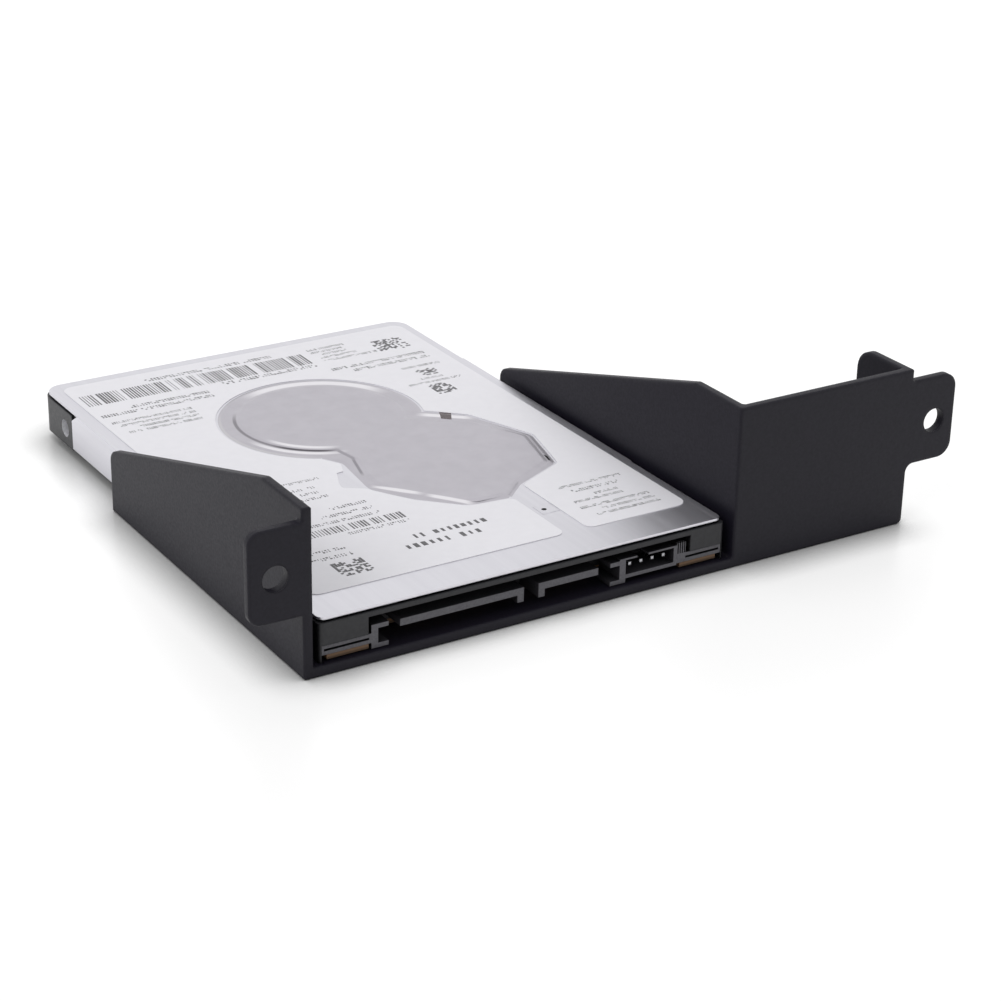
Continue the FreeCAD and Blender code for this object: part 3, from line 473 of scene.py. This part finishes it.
# The same plating where the sheet was drawn: duller and a little lilac, with strokes of painted
# highlight and painted shade round the dome's edge, where its slopes catch or miss the light
SPINDLE_MM = (0.0, 65.3)
# The colour of the painted highlights on the dome's slopes
PAINTED_HIGHLIGHT = "#E8E6EA"
DRAWN_STEEL = Finish(
    "nickel_plated_dome", "#BEBBC2", "#BBB8BF", (0.36, 0.42), metallic=1.0, grain_mm=2.5,
    depth_mm=0.0001, edge_mm=0.45, strokes=(
        Arc(PAINTED_HIGHLIGHT, 1.15, SPINDLE_MM, 15.3, (14.0, 122.0), 22.0),
        Arc("#9D9AA0", 0.35, SPINDLE_MM, 16.9, (20.0, 135.0), 20.0),
        Arc("#C6C4C8", 0.3, SPINDLE_MM, 16.7, (140.0, 250.0), 25.0),
        Arc(PAINTED_HIGHLIGHT, 0.6, SPINDLE_MM, 13.2, (198.0, 258.0), 22.0),
        Arc(PAINTED_HIGHLIGHT, 0.65, SPINDLE_MM, 15.3, (190.0, 262.0), 26.0),
        Arc("#8B888E", 0.4, SPINDLE_MM, 14.3, (142.0, 256.0), 20.0),
        Arc("#59565C", 0.4, SPINDLE_MM, 14.3, (208.0, 255.0), 14.0),
        Line("#A29FA6", 0.4, (-4.5, 52.6), (-3.5, 46.4)),
        Line("#918E95", 0.35, (-3.5, 48.4), (-5.7, 40.2)),
        Line(PAINTED_HIGHLIGHT, 0.9, (14.0, 59.0), (22.5, 52.2)),
        Line(PAINTED_HIGHLIGHT, 0.6, (-6.8, 37.0), (-0.6, 29.2)),
        Line(PAINTED_HIGHLIGHT, 0.6, (-1.2, 29.8), (4.6, 22.6)),
    ))
# Coated polyester label stock: white with a low sheen and almost no relief
LABEL_STOCK = Finish("coated_label_stock", "#EAE9EE", "#E8E7EC", (0.42, 0.5), specular=0.3,
                     grain_mm=1.5, depth_mm=0.0003)
# Thermal transfer ink: dark grey with small paler spots
LABEL_INK = Finish("label_ink", "#4A494C", "#6A696C", (0.5, 0.6), grain_mm=0.4, depth_mm=0.001)
# Glass filled liquid crystal polymer: near black and matt, mottled by the glass in it, with
# painted shade darkening its recesses
FILLED_POLYMER = Finish("glass_filled_polymer", "#2F2E32", "#28272B", (0.5, 0.6), specular=0.3,
                        grain_mm=0.3, depth_mm=0.003, edge_mm=0.06, hollow_mm=2.5)
# A lighter copy of the same polymer, painted light on the front faces as though lit from the
# front: grey, with the glass showing
LIT_FACE_POLYMER = Finish("polymer_painted_lit_face", "#5F5E63", "#525156", (0.45, 0.6), grain_mm=0.3,
                        depth_mm=0.003, edge_mm=0.06)
# Glass epoxy laminate: brown layers at the cut edge
LAMINATE = Finish("glass_epoxy_laminate", "#6E5238", "#463422", (0.45, 0.6), grain=Grain.LAYERED,
                  grain_mm=0.4, depth_mm=0.004)
# Hard gold over nickel on the contacts: warm and bright, with drawing marks along each strip
CONTACT_GOLD = Finish("hard_gold_plating", "#E3BE72", "#CFA659", (0.2, 0.32), metallic=1.0,
                      grain=Grain.BRUSHED, grain_mm=0.1, depth_mm=0.001)
# Epoxy moulding compound of the chips, and the sliders' dark ceramic: black and matt, and
# speckled by what fills it
CHIP_EPOXY = Finish("moulded_epoxy", "#2A2A2C", "#202022", (0.5, 0.65), grain_mm=0.12,
                    depth_mm=0.004)
# Tin over nickel on the jumper pins: silver, brightest at the middle of each tip
TINNED_PIN = Finish("tin_plating", "#B4B4B8", "#A4A4A8", (0.2, 0.3), metallic=1.0, grain_mm=0.1,
                    depth_mm=0.001, edge_mm=0.2)
# Dark filler in the cover's vent and in the scratch at the dome: dull black
VENT_PLUG = Finish("vent_plug", "#111112", "#0C0C0D", (0.7, 0.8), grain_mm=0.1, depth_mm=0.002)
# Varnish over the cover's pressed seam: dark red brown and glossy
SEAL_VARNISH = Finish("seal_varnish", "#3E292D", "#302024", (0.2, 0.3), grain_mm=0.3,
                      depth_mm=0.002)
# Black oxide on the steel screws: dark satin, slightly mottled
BLACK_OXIDE = Finish("black_oxide_steel", "#2F2E30", "#242325", (0.3, 0.42), metallic=0.6,
                     grain_mm=0.2, depth_mm=0.003, edge_mm=0.1)
# Ground stainless steel: bright satin with fine scratches
GROUND_STEEL = Finish("ground_stainless_steel", "#C9C8CA", "#B5B4B7", (0.22, 0.34), metallic=1.0,
                      grain=Grain.BRUSHED, grain_mm=0.15, depth_mm=0.001)
# Machined aluminium of hub, clamp and arms: pale, with tool rings
TURNED_ALUMINIUM = Finish("turned_aluminium", "#D3D3D6", "#C2C2C6", (0.25, 0.36), metallic=1.0,
                          grain=Grain.TURNED, grain_mm=0.15, depth_mm=0.001, centre_mm=(0.0, 33.1))
# Sputtered disc surface: a dark silver mirror without any marks
DISC_MIRROR = Finish("sputtered_disc", "#B9B6B5", "#B5B2B1", (0.04, 0.06), metallic=1.0,
                     grain_mm=8.0, depth_mm=0.00001)
# Enamelled copper wire: orange brown with the rows of the winding
COPPER_WIRE = Finish("enamelled_copper", "#B5683C", "#8E4A27", (0.28, 0.4), metallic=1.0,
                     grain=Grain.LAYERED, grain_mm=0.12, depth_mm=0.02)
# Nickel on yokes and magnets: bright grey with a soft orange peel
NICKEL = Finish("bright_nickel", "#BDB9B0", "#ACA89F", (0.24, 0.34), metallic=1.0, grain_mm=0.4,
                depth_mm=0.004)
# Acetal of ramp and header: cream, slightly waxy
ACETAL = Finish("acetal", "#D9CDB4", "#CFC2A7", (0.35, 0.45), grain_mm=0.8, depth_mm=0.004)
# Filter fleece: white, dull and fibrous
FLEECE = Finish("filter_fleece", "#E4E4E2", "#CDCDCB", (0.85, 0.95), grain_mm=0.25, depth_mm=0.08)
# Polyimide film: amber and glossy
POLYIMIDE = Finish("polyimide_film", "#A8621C", "#945414", (0.2, 0.3), grain_mm=0.6,
                   depth_mm=0.002)
# Dispensed gasket rubber: black and dull
GASKET_RUBBER = Finish("gasket_rubber", "#1C1C1D", "#161617", (0.6, 0.75), grain_mm=0.3,
                       depth_mm=0.006)


@dataclass(frozen=True)
class BoardFinish:
    """Green solder mask with a soft gloss on the board's faces, bare laminate round its edge."""

    mask: Finish = Finish("solder_mask", "#1E4A2E", "#173C24", (0.3, 0.4), grain_mm=1.2,
                          depth_mm=0.006)
    edge: Finish = LAMINATE

    def materials(self) -> list[bpy.types.Material]:
        """The mask's material and the edge's, in that order."""
        return [self.mask.material(), self.edge.material()]


def dress(node: str, finish: Finish) -> None:
    """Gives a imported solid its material.

    Args:
        node: the solid's name.
        finish: the finish that it gets.
    """
    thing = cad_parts[node]
    thing.data.materials.clear()
    thing.data.materials.append(finish.material())
    LOG.info("dressed %s in %s", node, finish.name)


# What repeats, made by node trees


@dataclass
class MarkTree:
    """A node tree that lays small flat marks on a grid and leaves some of them out at random."""

    name: str
    tree: bpy.types.NodeTree = field(init=False)

    def __post_init__(self) -> None:
        """Builds the tree with its named inputs."""
        tree = bpy.data.node_groups.new(self.name, "GeometryNodeTree")
        sockets = (
            ("Columns", "NodeSocketInt"), ("Rows", "NodeSocketInt"),
            ("Width", "NodeSocketFloat"), ("Height", "NodeSocketFloat"),
            ("Thinnest", "NodeSocketFloat"), ("Widest", "NodeSocketFloat"),
            ("Lowest", "NodeSocketFloat"), ("Tallest", "NodeSocketFloat"),
            ("Thickness", "NodeSocketFloat"), ("Share", "NodeSocketFloat"),
            ("Seed", "NodeSocketInt"), ("Material", "NodeSocketMaterial"),
        )
        for label, kind in sockets:
            tree.interface.new_socket(label, in_out="INPUT", socket_type=kind)
        tree.interface.new_socket("Geometry", in_out="OUTPUT", socket_type="NodeSocketGeometry")
        given = add_node(tree, "NodeGroupInput").outputs
        grid = add_node(tree, "GeometryNodeMeshGrid", {}, {}, {
            "Size X": given["Width"], "Size Y": given["Height"],
            "Vertices X": given["Columns"], "Vertices Y": given["Rows"]})
        # A random value node has sockets for each data type. A number has its limits at 2 and 3
        # and leaves at 1, a yes or no has its share at 6 and leaves at 3, and the seed is at 8
        wide = add_node(tree, "FunctionNodeRandomValue", {"data_type": "FLOAT"}, {}, {
            2: given["Thinnest"], 3: given["Widest"], 8: given["Seed"]})
        later = add_node(tree, "ShaderNodeMath", {"operation": "ADD"}, {1: 1.0},
                         {0: given["Seed"]})
        tall = add_node(tree, "FunctionNodeRandomValue", {"data_type": "FLOAT"}, {}, {
            2: given["Lowest"], 3: given["Tallest"], 8: later.outputs[0]})
        kept = add_node(tree, "FunctionNodeRandomValue", {"data_type": "BOOLEAN"}, {}, {
            6: given["Share"], 8: given["Seed"]})
        size = add_node(tree, "ShaderNodeCombineXYZ", {}, {}, {
            0: wide.outputs[1], 1: tall.outputs[1], 2: given["Thickness"]})
        block = add_node(tree, "GeometryNodeMeshCube", {}, {"Size": (1, 1, 1)})
        marks = add_node(tree, "GeometryNodeInstanceOnPoints", {}, {}, {
            "Points": grid.outputs[0], "Selection": kept.outputs[3],
            "Instance": block.outputs[0], "Scale": size.outputs[0]})
        real = add_node(tree, "GeometryNodeRealizeInstances", {}, {}, {0: marks.outputs[0]})
        inked = add_node(tree, "GeometryNodeSetMaterial", {}, {}, {
            "Geometry": real.outputs[0], "Material": given["Material"]})
        add_node(tree, "NodeGroupOutput", {}, {}, {0: inked.outputs[0]})
        self.tree = tree

    def grow(self, inputs: dict[str, object]) -> bpy.types.Mesh:
        """Runs the tree once.

        Args:
            inputs: input name to value.

        Returns:
            The marks as one plain mesh about the origin.
        """
        carrier = new_object(f"{self.name}_carrier", bpy.data.meshes.new(self.name))
        modifier = carrier.modifiers.new(self.name, "NODES")
        modifier.node_group = self.tree
        for item in self.tree.interface.items_tree:
            if item.in_out == "INPUT" and item.name in inputs:
                modifier[item.identifier] = inputs[item.name]
        seen = carrier.evaluated_get(bpy.context.evaluated_depsgraph_get())
        mesh = bpy.data.meshes.new_from_object(seen)
        carrier.modifiers.remove(modifier)
        bpy.data.objects.remove(carrier)
        return mesh


# The holder


@dataclass
class Holder:
    """The sheet metal holder and its two screws."""

    sheet: Finish = POWDER_BLACK
    screws: Finish = BLACK_OXIDE

    def build(self) -> None:
        """Dresses the holder's solids."""
        dress("holder_bracket", self.sheet)
        dress("holder_screws", self.screws)


# The label and its print


class Mark(Enum):
    """The kinds of generic print on the label."""

    TEXT = "text"
    STRIPES = "stripes"
    SQUARES = "squares"


@dataclass(frozen=True)
class PrintField:
    """One field of print: its kind and its place on the label, in the drive's frame."""

    kind: Mark
    x0_mm: float
    x1_mm: float
    y0_mm: float
    y1_mm: float


@dataclass(frozen=True)
class Lettering:
    """How a row of print is laid out, in shares of the row's depth, and how much of it is kept."""

    bars_high: int
    pitch: float
    widths: tuple[float, float]
    heights: tuple[float, float]
    kept: float


@dataclass
class Label:
    """The label with rows of plain marks where the real one has small print."""

    top_mm: float = 7.0
    ink_mm: float = 0.03
    large_from_mm: float = 1.5
    large: Lettering = Lettering(1, 0.62, (0.2, 0.45), (0.6, 0.8), 0.85)
    small: Lettering = Lettering(2, 0.42, (0.1, 0.34), (0.2, 0.42), 0.78)
    stripe_pitch_mm: float = 0.5
    stripe_widths: tuple[float, float] = (0.15, 0.75)
    stripes_kept: float = 0.86
    square_mm: float = 0.42
    squares_kept: float = 0.52

    def fields(self) -> list[PrintField]:
        """The fields of print, from the far edge to the front."""
        rows = [
            (Mark.TEXT, -18.3, 5.3, 93.8, 95.1), (Mark.STRIPES, -31.3, 10.3, 88.0, 92.9),
            (Mark.TEXT, -7.3, 10.3, 86.2, 87.5), (Mark.SQUARES, 24.0, 29.6, 87.0, 92.4),
            (Mark.TEXT, 12.4, 19.4, 93.4, 94.3), (Mark.TEXT, 12.4, 18.4, 92.0, 92.9),
            (Mark.TEXT, 14.0, 18.6, 90.7, 91.6), (Mark.TEXT, 13.0, 19.8, 89.2, 90.1),
            (Mark.TEXT, 13.0, 23.0, 87.6, 88.5),
            (Mark.TEXT, -25.3, -11.3, 84.2, 85.4), (Mark.TEXT, -31.3, -11.3, 82.3, 83.5),
            (Mark.TEXT, 12.0, 30.0, 83.0, 84.2), (Mark.TEXT, 15.3, 30.0, 81.0, 82.2),
            (Mark.TEXT, -31.0, -17.0, 79.1, 80.0), (Mark.TEXT, -30.2, -17.0, 77.5, 78.4),
            (Mark.TEXT, -27.3, -17.0, 75.9, 76.8), (Mark.TEXT, -30.0, -17.2, 74.3, 75.2),
            (Mark.TEXT, 22.8, 30.0, 77.6, 78.5), (Mark.SQUARES, 24.3, 27.6, 73.4, 76.3),
            (Mark.TEXT, 23.3, 27.3, 71.8, 72.6), (Mark.TEXT, 20.0, 30.0, 70.1, 70.9),
            (Mark.SQUARES, 22.8, 26.1, 64.8, 69.2),
            (Mark.TEXT, -18.4, -12.2, 43.0, 43.9), (Mark.TEXT, -18.7, -14.4, 40.2, 41.1),
            (Mark.TEXT, -17.5, -14.7, 38.3, 39.2), (Mark.TEXT, -18.7, -13.6, 36.4, 37.3),
            (Mark.TEXT, -16.0, -10.0, 31.6, 32.6), (Mark.TEXT, -18.7, -10.0, 29.3, 30.3),
            (Mark.TEXT, -21.5, -10.0, 27.2, 28.2), (Mark.STRIPES, -27.4, -7.4, 24.0, 26.2),
            (Mark.TEXT, -17.6, -7.4, 22.4, 23.4),
            (Mark.TEXT, -27.0, -20.7, 18.6, 19.7), (Mark.TEXT, -27.0, -20.7, 16.3, 17.4),
            (Mark.SQUARES, -25.1, -20.4, 10.3, 14.9),
            (Mark.TEXT, -10.7, 2.3, 16.4, 18.2), (Mark.TEXT, -12.3, -0.3, 13.5, 15.4),
            (Mark.TEXT, 18.7, 30.0, 21.2, 22.1), (Mark.TEXT, 20.0, 28.3, 19.0, 20.1),
            (Mark.TEXT, 22.7, 26.7, 17.0, 17.8), (Mark.TEXT, 18.0, 26.7, 15.5, 16.3),
            (Mark.TEXT, 17.7, 30.0, 13.2, 14.1), (Mark.TEXT, 20.7, 30.0, 11.7, 12.5),
            (Mark.TEXT, 18.7, 30.0, 10.1, 10.9),
        ]
        return [PrintField(*row) for row in rows]

    def inputs(self, part: PrintField, seed: int) -> dict[str, object]:
        """The tree's inputs for one field.

        Args:
            part: the field.
            seed: the seed of its random marks.

        Returns:
            Input name to value.
        """
        wide = part.x1_mm - part.x0_mm
        deep = part.y1_mm - part.y0_mm
        if part.kind is Mark.TEXT:
            letters = self.large if deep > self.large_from_mm else self.small
            columns, rows = round(wide / (letters.pitch * deep)), letters.bars_high
            widths = [share * deep for share in letters.widths]
            heights = [share * deep for share in letters.heights]
            kept = letters.kept
        elif part.kind is Mark.STRIPES:
            columns, rows = round(wide / self.stripe_pitch_mm), 1
            widths = [share * self.stripe_pitch_mm for share in self.stripe_widths]
            heights, kept = [deep, deep], self.stripes_kept
        else:
            columns, rows = round(wide / self.square_mm), round(deep / self.square_mm)
            widths = heights = [self.square_mm, self.square_mm]
            kept = self.squares_kept
        return {
            "Columns": max(columns, 2), "Rows": rows, "Width": wide * MM,
            "Height": (rows - 1) / rows * deep * MM,
            "Thinnest": widths[0] * MM, "Widest": widths[1] * MM,
            "Lowest": heights[0] * MM, "Tallest": heights[1] * MM,
            "Thickness": self.ink_mm * MM, "Share": kept, "Seed": seed,
            "Material": LABEL_INK.material(),
        }

    def build(self) -> None:
        """Dresses the label and prints its fields."""
        dress("cover_label", LABEL_STOCK)
        marks = MarkTree("print_marks")
        meshes = []
        for seed, part in enumerate(self.fields()):
            mesh = marks.grow(self.inputs(part, seed))
            middle = drive_point((part.x0_mm + part.x1_mm) / 2, (part.y0_mm + part.y1_mm) / 2,
                                 self.top_mm)
            mesh.transform(Matrix.Translation(middle))
            meshes.append(mesh)
        printed = join_meshes("label_print", meshes)
        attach(printed, HOLDER_BODY)
        LOG.info("printed %d fields on the label", len(meshes))


# The drive's outside


@dataclass
class DriveShell:
    """The casting, the cover, the seal, the connector and the circuit board."""

    # Shares of a face's normal along one axis, which tell how the face stands
    LEVEL_SHARE: ClassVar[float] = 0.5
    FACING_SHARE: ClassVar[float] = 0.7

    board: BoardFinish = BoardFinish()
    cover_top_mm: float = 8.4
    dome_step_mm: float = 0.1
    vent_mm: tuple[float, float] = (12.5, 16.15)
    vent_radius_mm: float = 0.41
    connector_face_mm: float = -30.2
    side_hole_x_mm: float = 32.4
    side_hole_radius_mm: float = 1.55
    side_hole_places_mm: tuple[tuple[float, float], ...] = ((-18.2, 4.5), (58.4, 4.5))

    def build(self) -> None:
        """Dresses the shell's solids."""
        self.dress_base()
        self.dress_cover()
        dress("cover_gasket", GASKET_RUBBER)
        self.dress_connector()
        for node in ("power_contacts", "signal_contacts"):
            dress(node, CONTACT_GOLD)
        dress("jumper_pins", TINNED_PIN)
        dress("board_chips", CHIP_EPOXY)
        self.dress_board()

    def dress_base(self) -> None:
        """Gives the casting its coat, and leaves the walls of its side holes bare."""
        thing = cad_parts["drive_base"]
        thing.data.materials.clear()
        for finish in (CAST_BLACK, CUT_ALUMINIUM):
            thing.data.materials.append(finish.material())
        for face in thing.data.polygons:
            x, y, z = face.center / MM
            near_hole = any(
                math.hypot(y - hole_y, z - hole_z) < self.side_hole_radius_mm
                for hole_y, hole_z in self.side_hole_places_mm)
            in_wall = abs(x) > self.side_hole_x_mm and abs(face.normal.x) < self.LEVEL_SHARE
            face.material_index = int(near_hole and in_wall)
        LOG.info("dressed drive_base in coat and bare holes")

    def dress_cover(self) -> None:
        """Gives the flat sheet one plating, the drawn dome the other with its painted highlights
        and shades, and the vent its plug.
        """
        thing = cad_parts["drive_cover"]
        thing.data.materials.clear()
        for finish in (PLATED_STEEL, DRAWN_STEEL, VENT_PLUG):
            thing.data.materials.append(finish.material())
        dome_from = (self.cover_top_mm + self.dome_step_mm) * MM
        vent = drive_point(*self.vent_mm, 0)
        vertices = thing.data.vertices
        sheet_slot, dome_slot, vent_slot = range(3)
        for face in thing.data.polygons:
            top = max(vertices[i].co.z for i in face.vertices)
            face.material_index = dome_slot if top > dome_from else sheet_slot
            if math.dist(face.center[:2], vent[:2]) < self.vent_radius_mm * MM:
                face.material_index = vent_slot
        LOG.info("dressed drive_cover in sheet and dome plating")

    def dress_connector(self) -> None:
        """Gives the moulding its polymer, and the faces at its front a lighter copy of it, painted
        light.
        """
        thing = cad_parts["sata_connector"]
        thing.data.materials.clear()
        for finish in (FILLED_POLYMER, LIT_FACE_POLYMER):
            thing.data.materials.append(finish.material())
        # Forward faces at the front get painted light: the lighter copy of the polymer
        for face in thing.data.polygons:
            at_front = face.center.y < self.connector_face_mm * MM
            face.material_index = int(at_front and face.normal.y < -self.FACING_SHARE)
        LOG.info("dressed sata_connector in polymer with painted lit front faces")

    def dress_board(self) -> None:
        """Gives the board its mask, and its cut edges the laminate."""
        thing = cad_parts["circuit_board"]
        thing.data.materials.clear()
        for material in self.board.materials():
            thing.data.materials.append(material)
        for face in thing.data.polygons:
            face.material_index = 0 if abs(face.normal.z) > self.LEVEL_SHARE else 1
        LOG.info("dressed circuit_board in mask and laminate")


# The marks on the cover


@dataclass(frozen=True)
class Patch:
    """A thin mark on the cover: its name, its finish and its corners in the drive's frame."""

    name: str
    finish: Finish
    corners_mm: tuple[tuple[float, float], ...]


@dataclass
class CoverMarks:
    """The small marks on the cover that are too thin for the solids."""

    lift_mm: float = 0.004
    thickness_mm: float = 0.02
    steps: int = 10
    search_from_mm: float = 20.0

    def patches(self) -> list[Patch]:
        """The varnish at the dome's right shoulder and the scratch at its right corner."""
        return [
            Patch("seam_varnish", SEAL_VARNISH, (
                (18.3, 57.9), (17.1, 55.1), (18.4, 53.9), (19.9, 56.6))),
            Patch("dome_scratch", VENT_PLUG, (
                (23.7, 33.8), (23.2, 31.6), (23.5, 31.5), (24.0, 33.2))),
        ]

    def build_patch(self, patch: Patch, cover: BVHTree) -> None:
        """Lays one mark onto the cover's surface.

        Args:
            patch: the mark.
            cover: the cover's faces, to find the height at each place.
        """
        first, second, third, fourth = (Vector(corner) for corner in patch.corners_mm)
        up = Vector((0, 0, 1))
        count = self.steps + 1
        points = []
        for row in range(count):
            for column in range(count):
                along, across = row / self.steps, column / self.steps
                near = first.lerp(second, along)
                far = fourth.lerp(third, along)
                place = drive_point(*near.lerp(far, across), self.search_from_mm)
                hit = cover.ray_cast(place, -up)[0]
                points.append(hit + up * (self.lift_mm * MM))
        top = [point + up * (self.thickness_mm * MM) for point in points]
        under = len(points)
        faces = []
        for row in range(self.steps):
            for column in range(self.steps):
                a = row * count + column
                square = (a, a + count, a + count + 1, a + 1)
                faces.append(tuple(under + i for i in square))
                faces.append(square[::-1])
        # The rim goes once round the patch, along its four sides in turn
        last = self.steps * count
        rim = [
            *range(count),
            *(row * count + self.steps for row in range(1, count)),
            *range(last + self.steps - 1, last - 1, -1),
            *(row * count for row in range(self.steps - 1, 0, -1)),
        ]
        for i, a in enumerate(rim):
            b = rim[(i + 1) % len(rim)]
            faces.append((b, a, a + under, b + under))
        mesh = bpy.data.meshes.new(patch.name)
        mesh.from_pydata([*points, *top], [], faces)
        mesh.materials.append(patch.finish.material())
        piece = new_object(patch.name, mesh)
        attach(piece, HOLDER_BODY)
        LOG.info("laid %s on the cover", patch.name)

    def build(self) -> None:
        """Lays every mark onto the cover."""
        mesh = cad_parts["drive_cover"].data
        cover = BVHTree.FromPolygons(
            [vertex.co for vertex in mesh.vertices], [face.vertices for face in mesh.polygons])
        for patch in self.patches():
            self.build_patch(patch, cover)


# The drive's inside


@dataclass
class Mechanism:
    """The disc, its motor, the head stack and what holds them, under the cover."""

    def build(self) -> None:
        """Dresses the mechanism's solids."""
        finishes = {
            GROUND_STEEL: ("spindle_shaft", "pivot_post", "pivot_sleeve", "suspensions"),
            COPPER_WIRE: ("motor_stator", "voice_coil"),
            TURNED_ALUMINIUM: ("spindle_hub", "disc_clamp", "head_arms"),
            NICKEL: ("rotor_magnet", "lower_yoke", "upper_yoke", "coil_magnets"),
            DISC_MIRROR: ("platter",),
            CHIP_EPOXY: ("head_sliders",),
            ACETAL: ("parking_ramp", "flex_header"),
            FLEECE: ("air_filter",),
            POLYIMIDE: ("flex_cable",),
        }
        for finish, nodes in finishes.items():
            for node in nodes:
                dress(node, finish)


# The studio


@dataclass(frozen=True)
class Lamp:
    """A square soft lamp that points at the object, with its power in watts."""

    name: str
    place: tuple[float, float, float]
    side: float
    power: float


@dataclass
class Studio:
    """The floor, the lamps, the sky and the camera."""

    camera_at: tuple[float, float, float] = (-0.1797, -0.3098, 0.1673)
    azimuth: float = -32.104
    elevation: float = 24.172
    roll: float = 1.126
    lens_mm: float = 90.56
    sensor_mm: float = 36.0
    near_clip: float = 0.01
    far_clip: float = 50.0
    floor_size: float = 6.0
    floor_drop_mm: float = 0.05
    floor_lighting: str = "#F0F0F0"
    floor_seen: str = "#B4B4B4"
    floor_roughness: float = 0.3
    floor_glow: float = 0.58
    contact_mm: float = 8.0
    contact_range: tuple[float, float] = (0.5, 1.0)
    contact_samples: int = 6
    sky_light: float = 0.44
    lamps: tuple[Lamp, ...] = (
        Lamp("key", (-1.5, -0.3, 1.3), 1.2, 13.0),
        Lamp("top", (0.2, 0.5, 2.0), 2.0, 18.0),
    )

    def place_camera(self) -> None:
        """Sets the camera where the photograph was taken from."""
        turn = math.radians(self.azimuth)
        rise = math.radians(self.elevation)
        back = Vector((math.sin(turn) * math.cos(rise), -math.cos(turn) * math.cos(rise),
                       math.sin(rise)))
        right = Vector((math.cos(turn), math.sin(turn), 0))
        up = back.cross(right)
        lean = math.radians(self.roll)
        leaned_right = right * math.cos(lean) + up * math.sin(lean)
        leaned_up = up * math.cos(lean) - right * math.sin(lean)
        lens = bpy.data.cameras.new("camera")
        lens.lens = self.lens_mm
        lens.sensor_width = self.sensor_mm
        lens.clip_start = self.near_clip
        lens.clip_end = self.far_clip
        camera = bpy.data.objects.new("camera", lens)
        turned = Matrix((leaned_right, leaned_up, back)).transposed().to_4x4()
        camera.matrix_world = Matrix.Translation(self.camera_at) @ turned
        bpy.context.scene.collection.objects.link(camera)
        bpy.context.scene.camera = camera

    def background_rays(self, tree: bpy.types.NodeTree) -> bpy.types.NodeSocket:
        """Adds the nodes that tell the rays that show the background.

        Args:
            tree: the node tree of the floor's material or of the world.

        Returns:
            A socket that is 1 for camera, glossy and transmission rays, and 0 for others.
        """
        path = add_node(tree, "ShaderNodeLightPath").outputs
        direct = add_node(tree, "ShaderNodeMath", {"operation": "MAXIMUM"}, {}, {
            0: path["Is Camera Ray"], 1: path["Is Glossy Ray"]})
        every = add_node(tree, "ShaderNodeMath", {"operation": "MAXIMUM"}, {}, {
            0: direct.outputs[0], 1: path["Is Transmission Ray"]})
        return every.outputs[0]

    def lay_floor(self) -> None:
        """Lays the white floor.

        It lights the object by its pale colour. Where it is seen, directly or in a mirror, its
        colour is greyer and a glow lifts it to white. The glow fades close to the object, so that
        the floor keeps the object's shadow.
        """
        half = self.floor_size / 2
        z = -self.floor_drop_mm * MM
        mesh = bpy.data.meshes.new("floor")
        corners = [(-half, -half, z), (half, -half, z), (half, half, z), (-half, half, z)]
        mesh.from_pydata(corners, [], [(0, 1, 2, 3)])
        made = bpy.data.materials.new("white_acrylic_sheet")
        made.use_nodes = True
        tree = made.node_tree
        tree.nodes.clear()
        seen = self.background_rays(tree)
        paint = add_node(
            tree, "ShaderNodeMix", {"data_type": "RGBA"},
            {MIX_FIRST: linear(self.floor_lighting), MIX_SECOND: linear(self.floor_seen)},
            {0: seen})
        body = add_node(
            tree, "ShaderNodeBsdfPrincipled", {},
            {"Roughness": self.floor_roughness, "Specular IOR Level": 0.5},
            {"Base Color": paint.outputs[MIX_RESULT]})
        open_share = add_node(
            tree, "ShaderNodeAmbientOcclusion", {"samples": self.contact_samples},
            {"Distance": self.contact_mm * MM})
        shut, clear = self.contact_range
        contact = add_node(
            tree, "ShaderNodeMapRange", {},
            {"From Min": shut, "From Max": clear, "To Min": 0.0, "To Max": self.floor_glow},
            {0: open_share.outputs["AO"]})
        strength = add_node(tree, "ShaderNodeMath", {"operation": "MULTIPLY"}, {},
                            {0: seen, 1: contact.outputs[0]})
        glow = add_node(tree, "ShaderNodeEmission", {}, {"Color": (1, 1, 1, 1)}, {
            "Strength": strength.outputs[0]})
        both = add_node(tree, "ShaderNodeAddShader", {}, {}, {
            0: body.outputs[0], 1: glow.outputs[0]})
        add_node(tree, "ShaderNodeOutputMaterial", {}, {}, {0: both.outputs[0]})
        mesh.materials.append(made)
        floor = new_object("floor", mesh)

    def light(self) -> None:
        """Sets the sky and the soft lamps.

        No lamp shows in a mirror, so that plain metal never clips to white in any view.
        """
        world = bpy.data.worlds.new("sky")
        bpy.context.scene.world = world
        world.use_nodes = True
        tree = world.node_tree
        tree.nodes.clear()
        strength = add_node(
            tree, "ShaderNodeMapRange", {}, {"To Min": self.sky_light, "To Max": 1.0},
            {0: self.background_rays(tree)})
        sky = add_node(tree, "ShaderNodeBackground", {}, {"Color": (1, 1, 1, 1)}, {
            "Strength": strength.outputs[0]})
        add_node(tree, "ShaderNodeOutputWorld", {}, {}, {0: sky.outputs[0]})
        for lamp in self.lamps:
            light = bpy.data.lights.new(lamp.name, "AREA")
            light.size = lamp.side
            light.energy = lamp.power
            thing = bpy.data.objects.new(lamp.name, light)
            thing.location = lamp.place
            thing.visible_glossy = False
            thing.rotation_mode = "QUATERNION"
            thing.rotation_quaternion = Vector(lamp.place).to_track_quat("Z", "Y")
            bpy.context.scene.collection.objects.link(thing)

    def build(self) -> None:
        """Builds the whole studio."""
        self.place_camera()
        self.lay_floor()
        self.light()
        bpy.context.scene.view_settings.view_transform = "Standard"


def main() -> None:
    """Builds every sub-assembly in order."""
    logging.basicConfig(level=logging.INFO, format="%(name)s: %(message)s")
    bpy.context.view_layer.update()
    Studio().build()
    Holder().build()
    DriveShell().build()
    Mechanism().build()
    Label().build()
    CoverMarks().build()


if __name__ == "__main__":
    main()
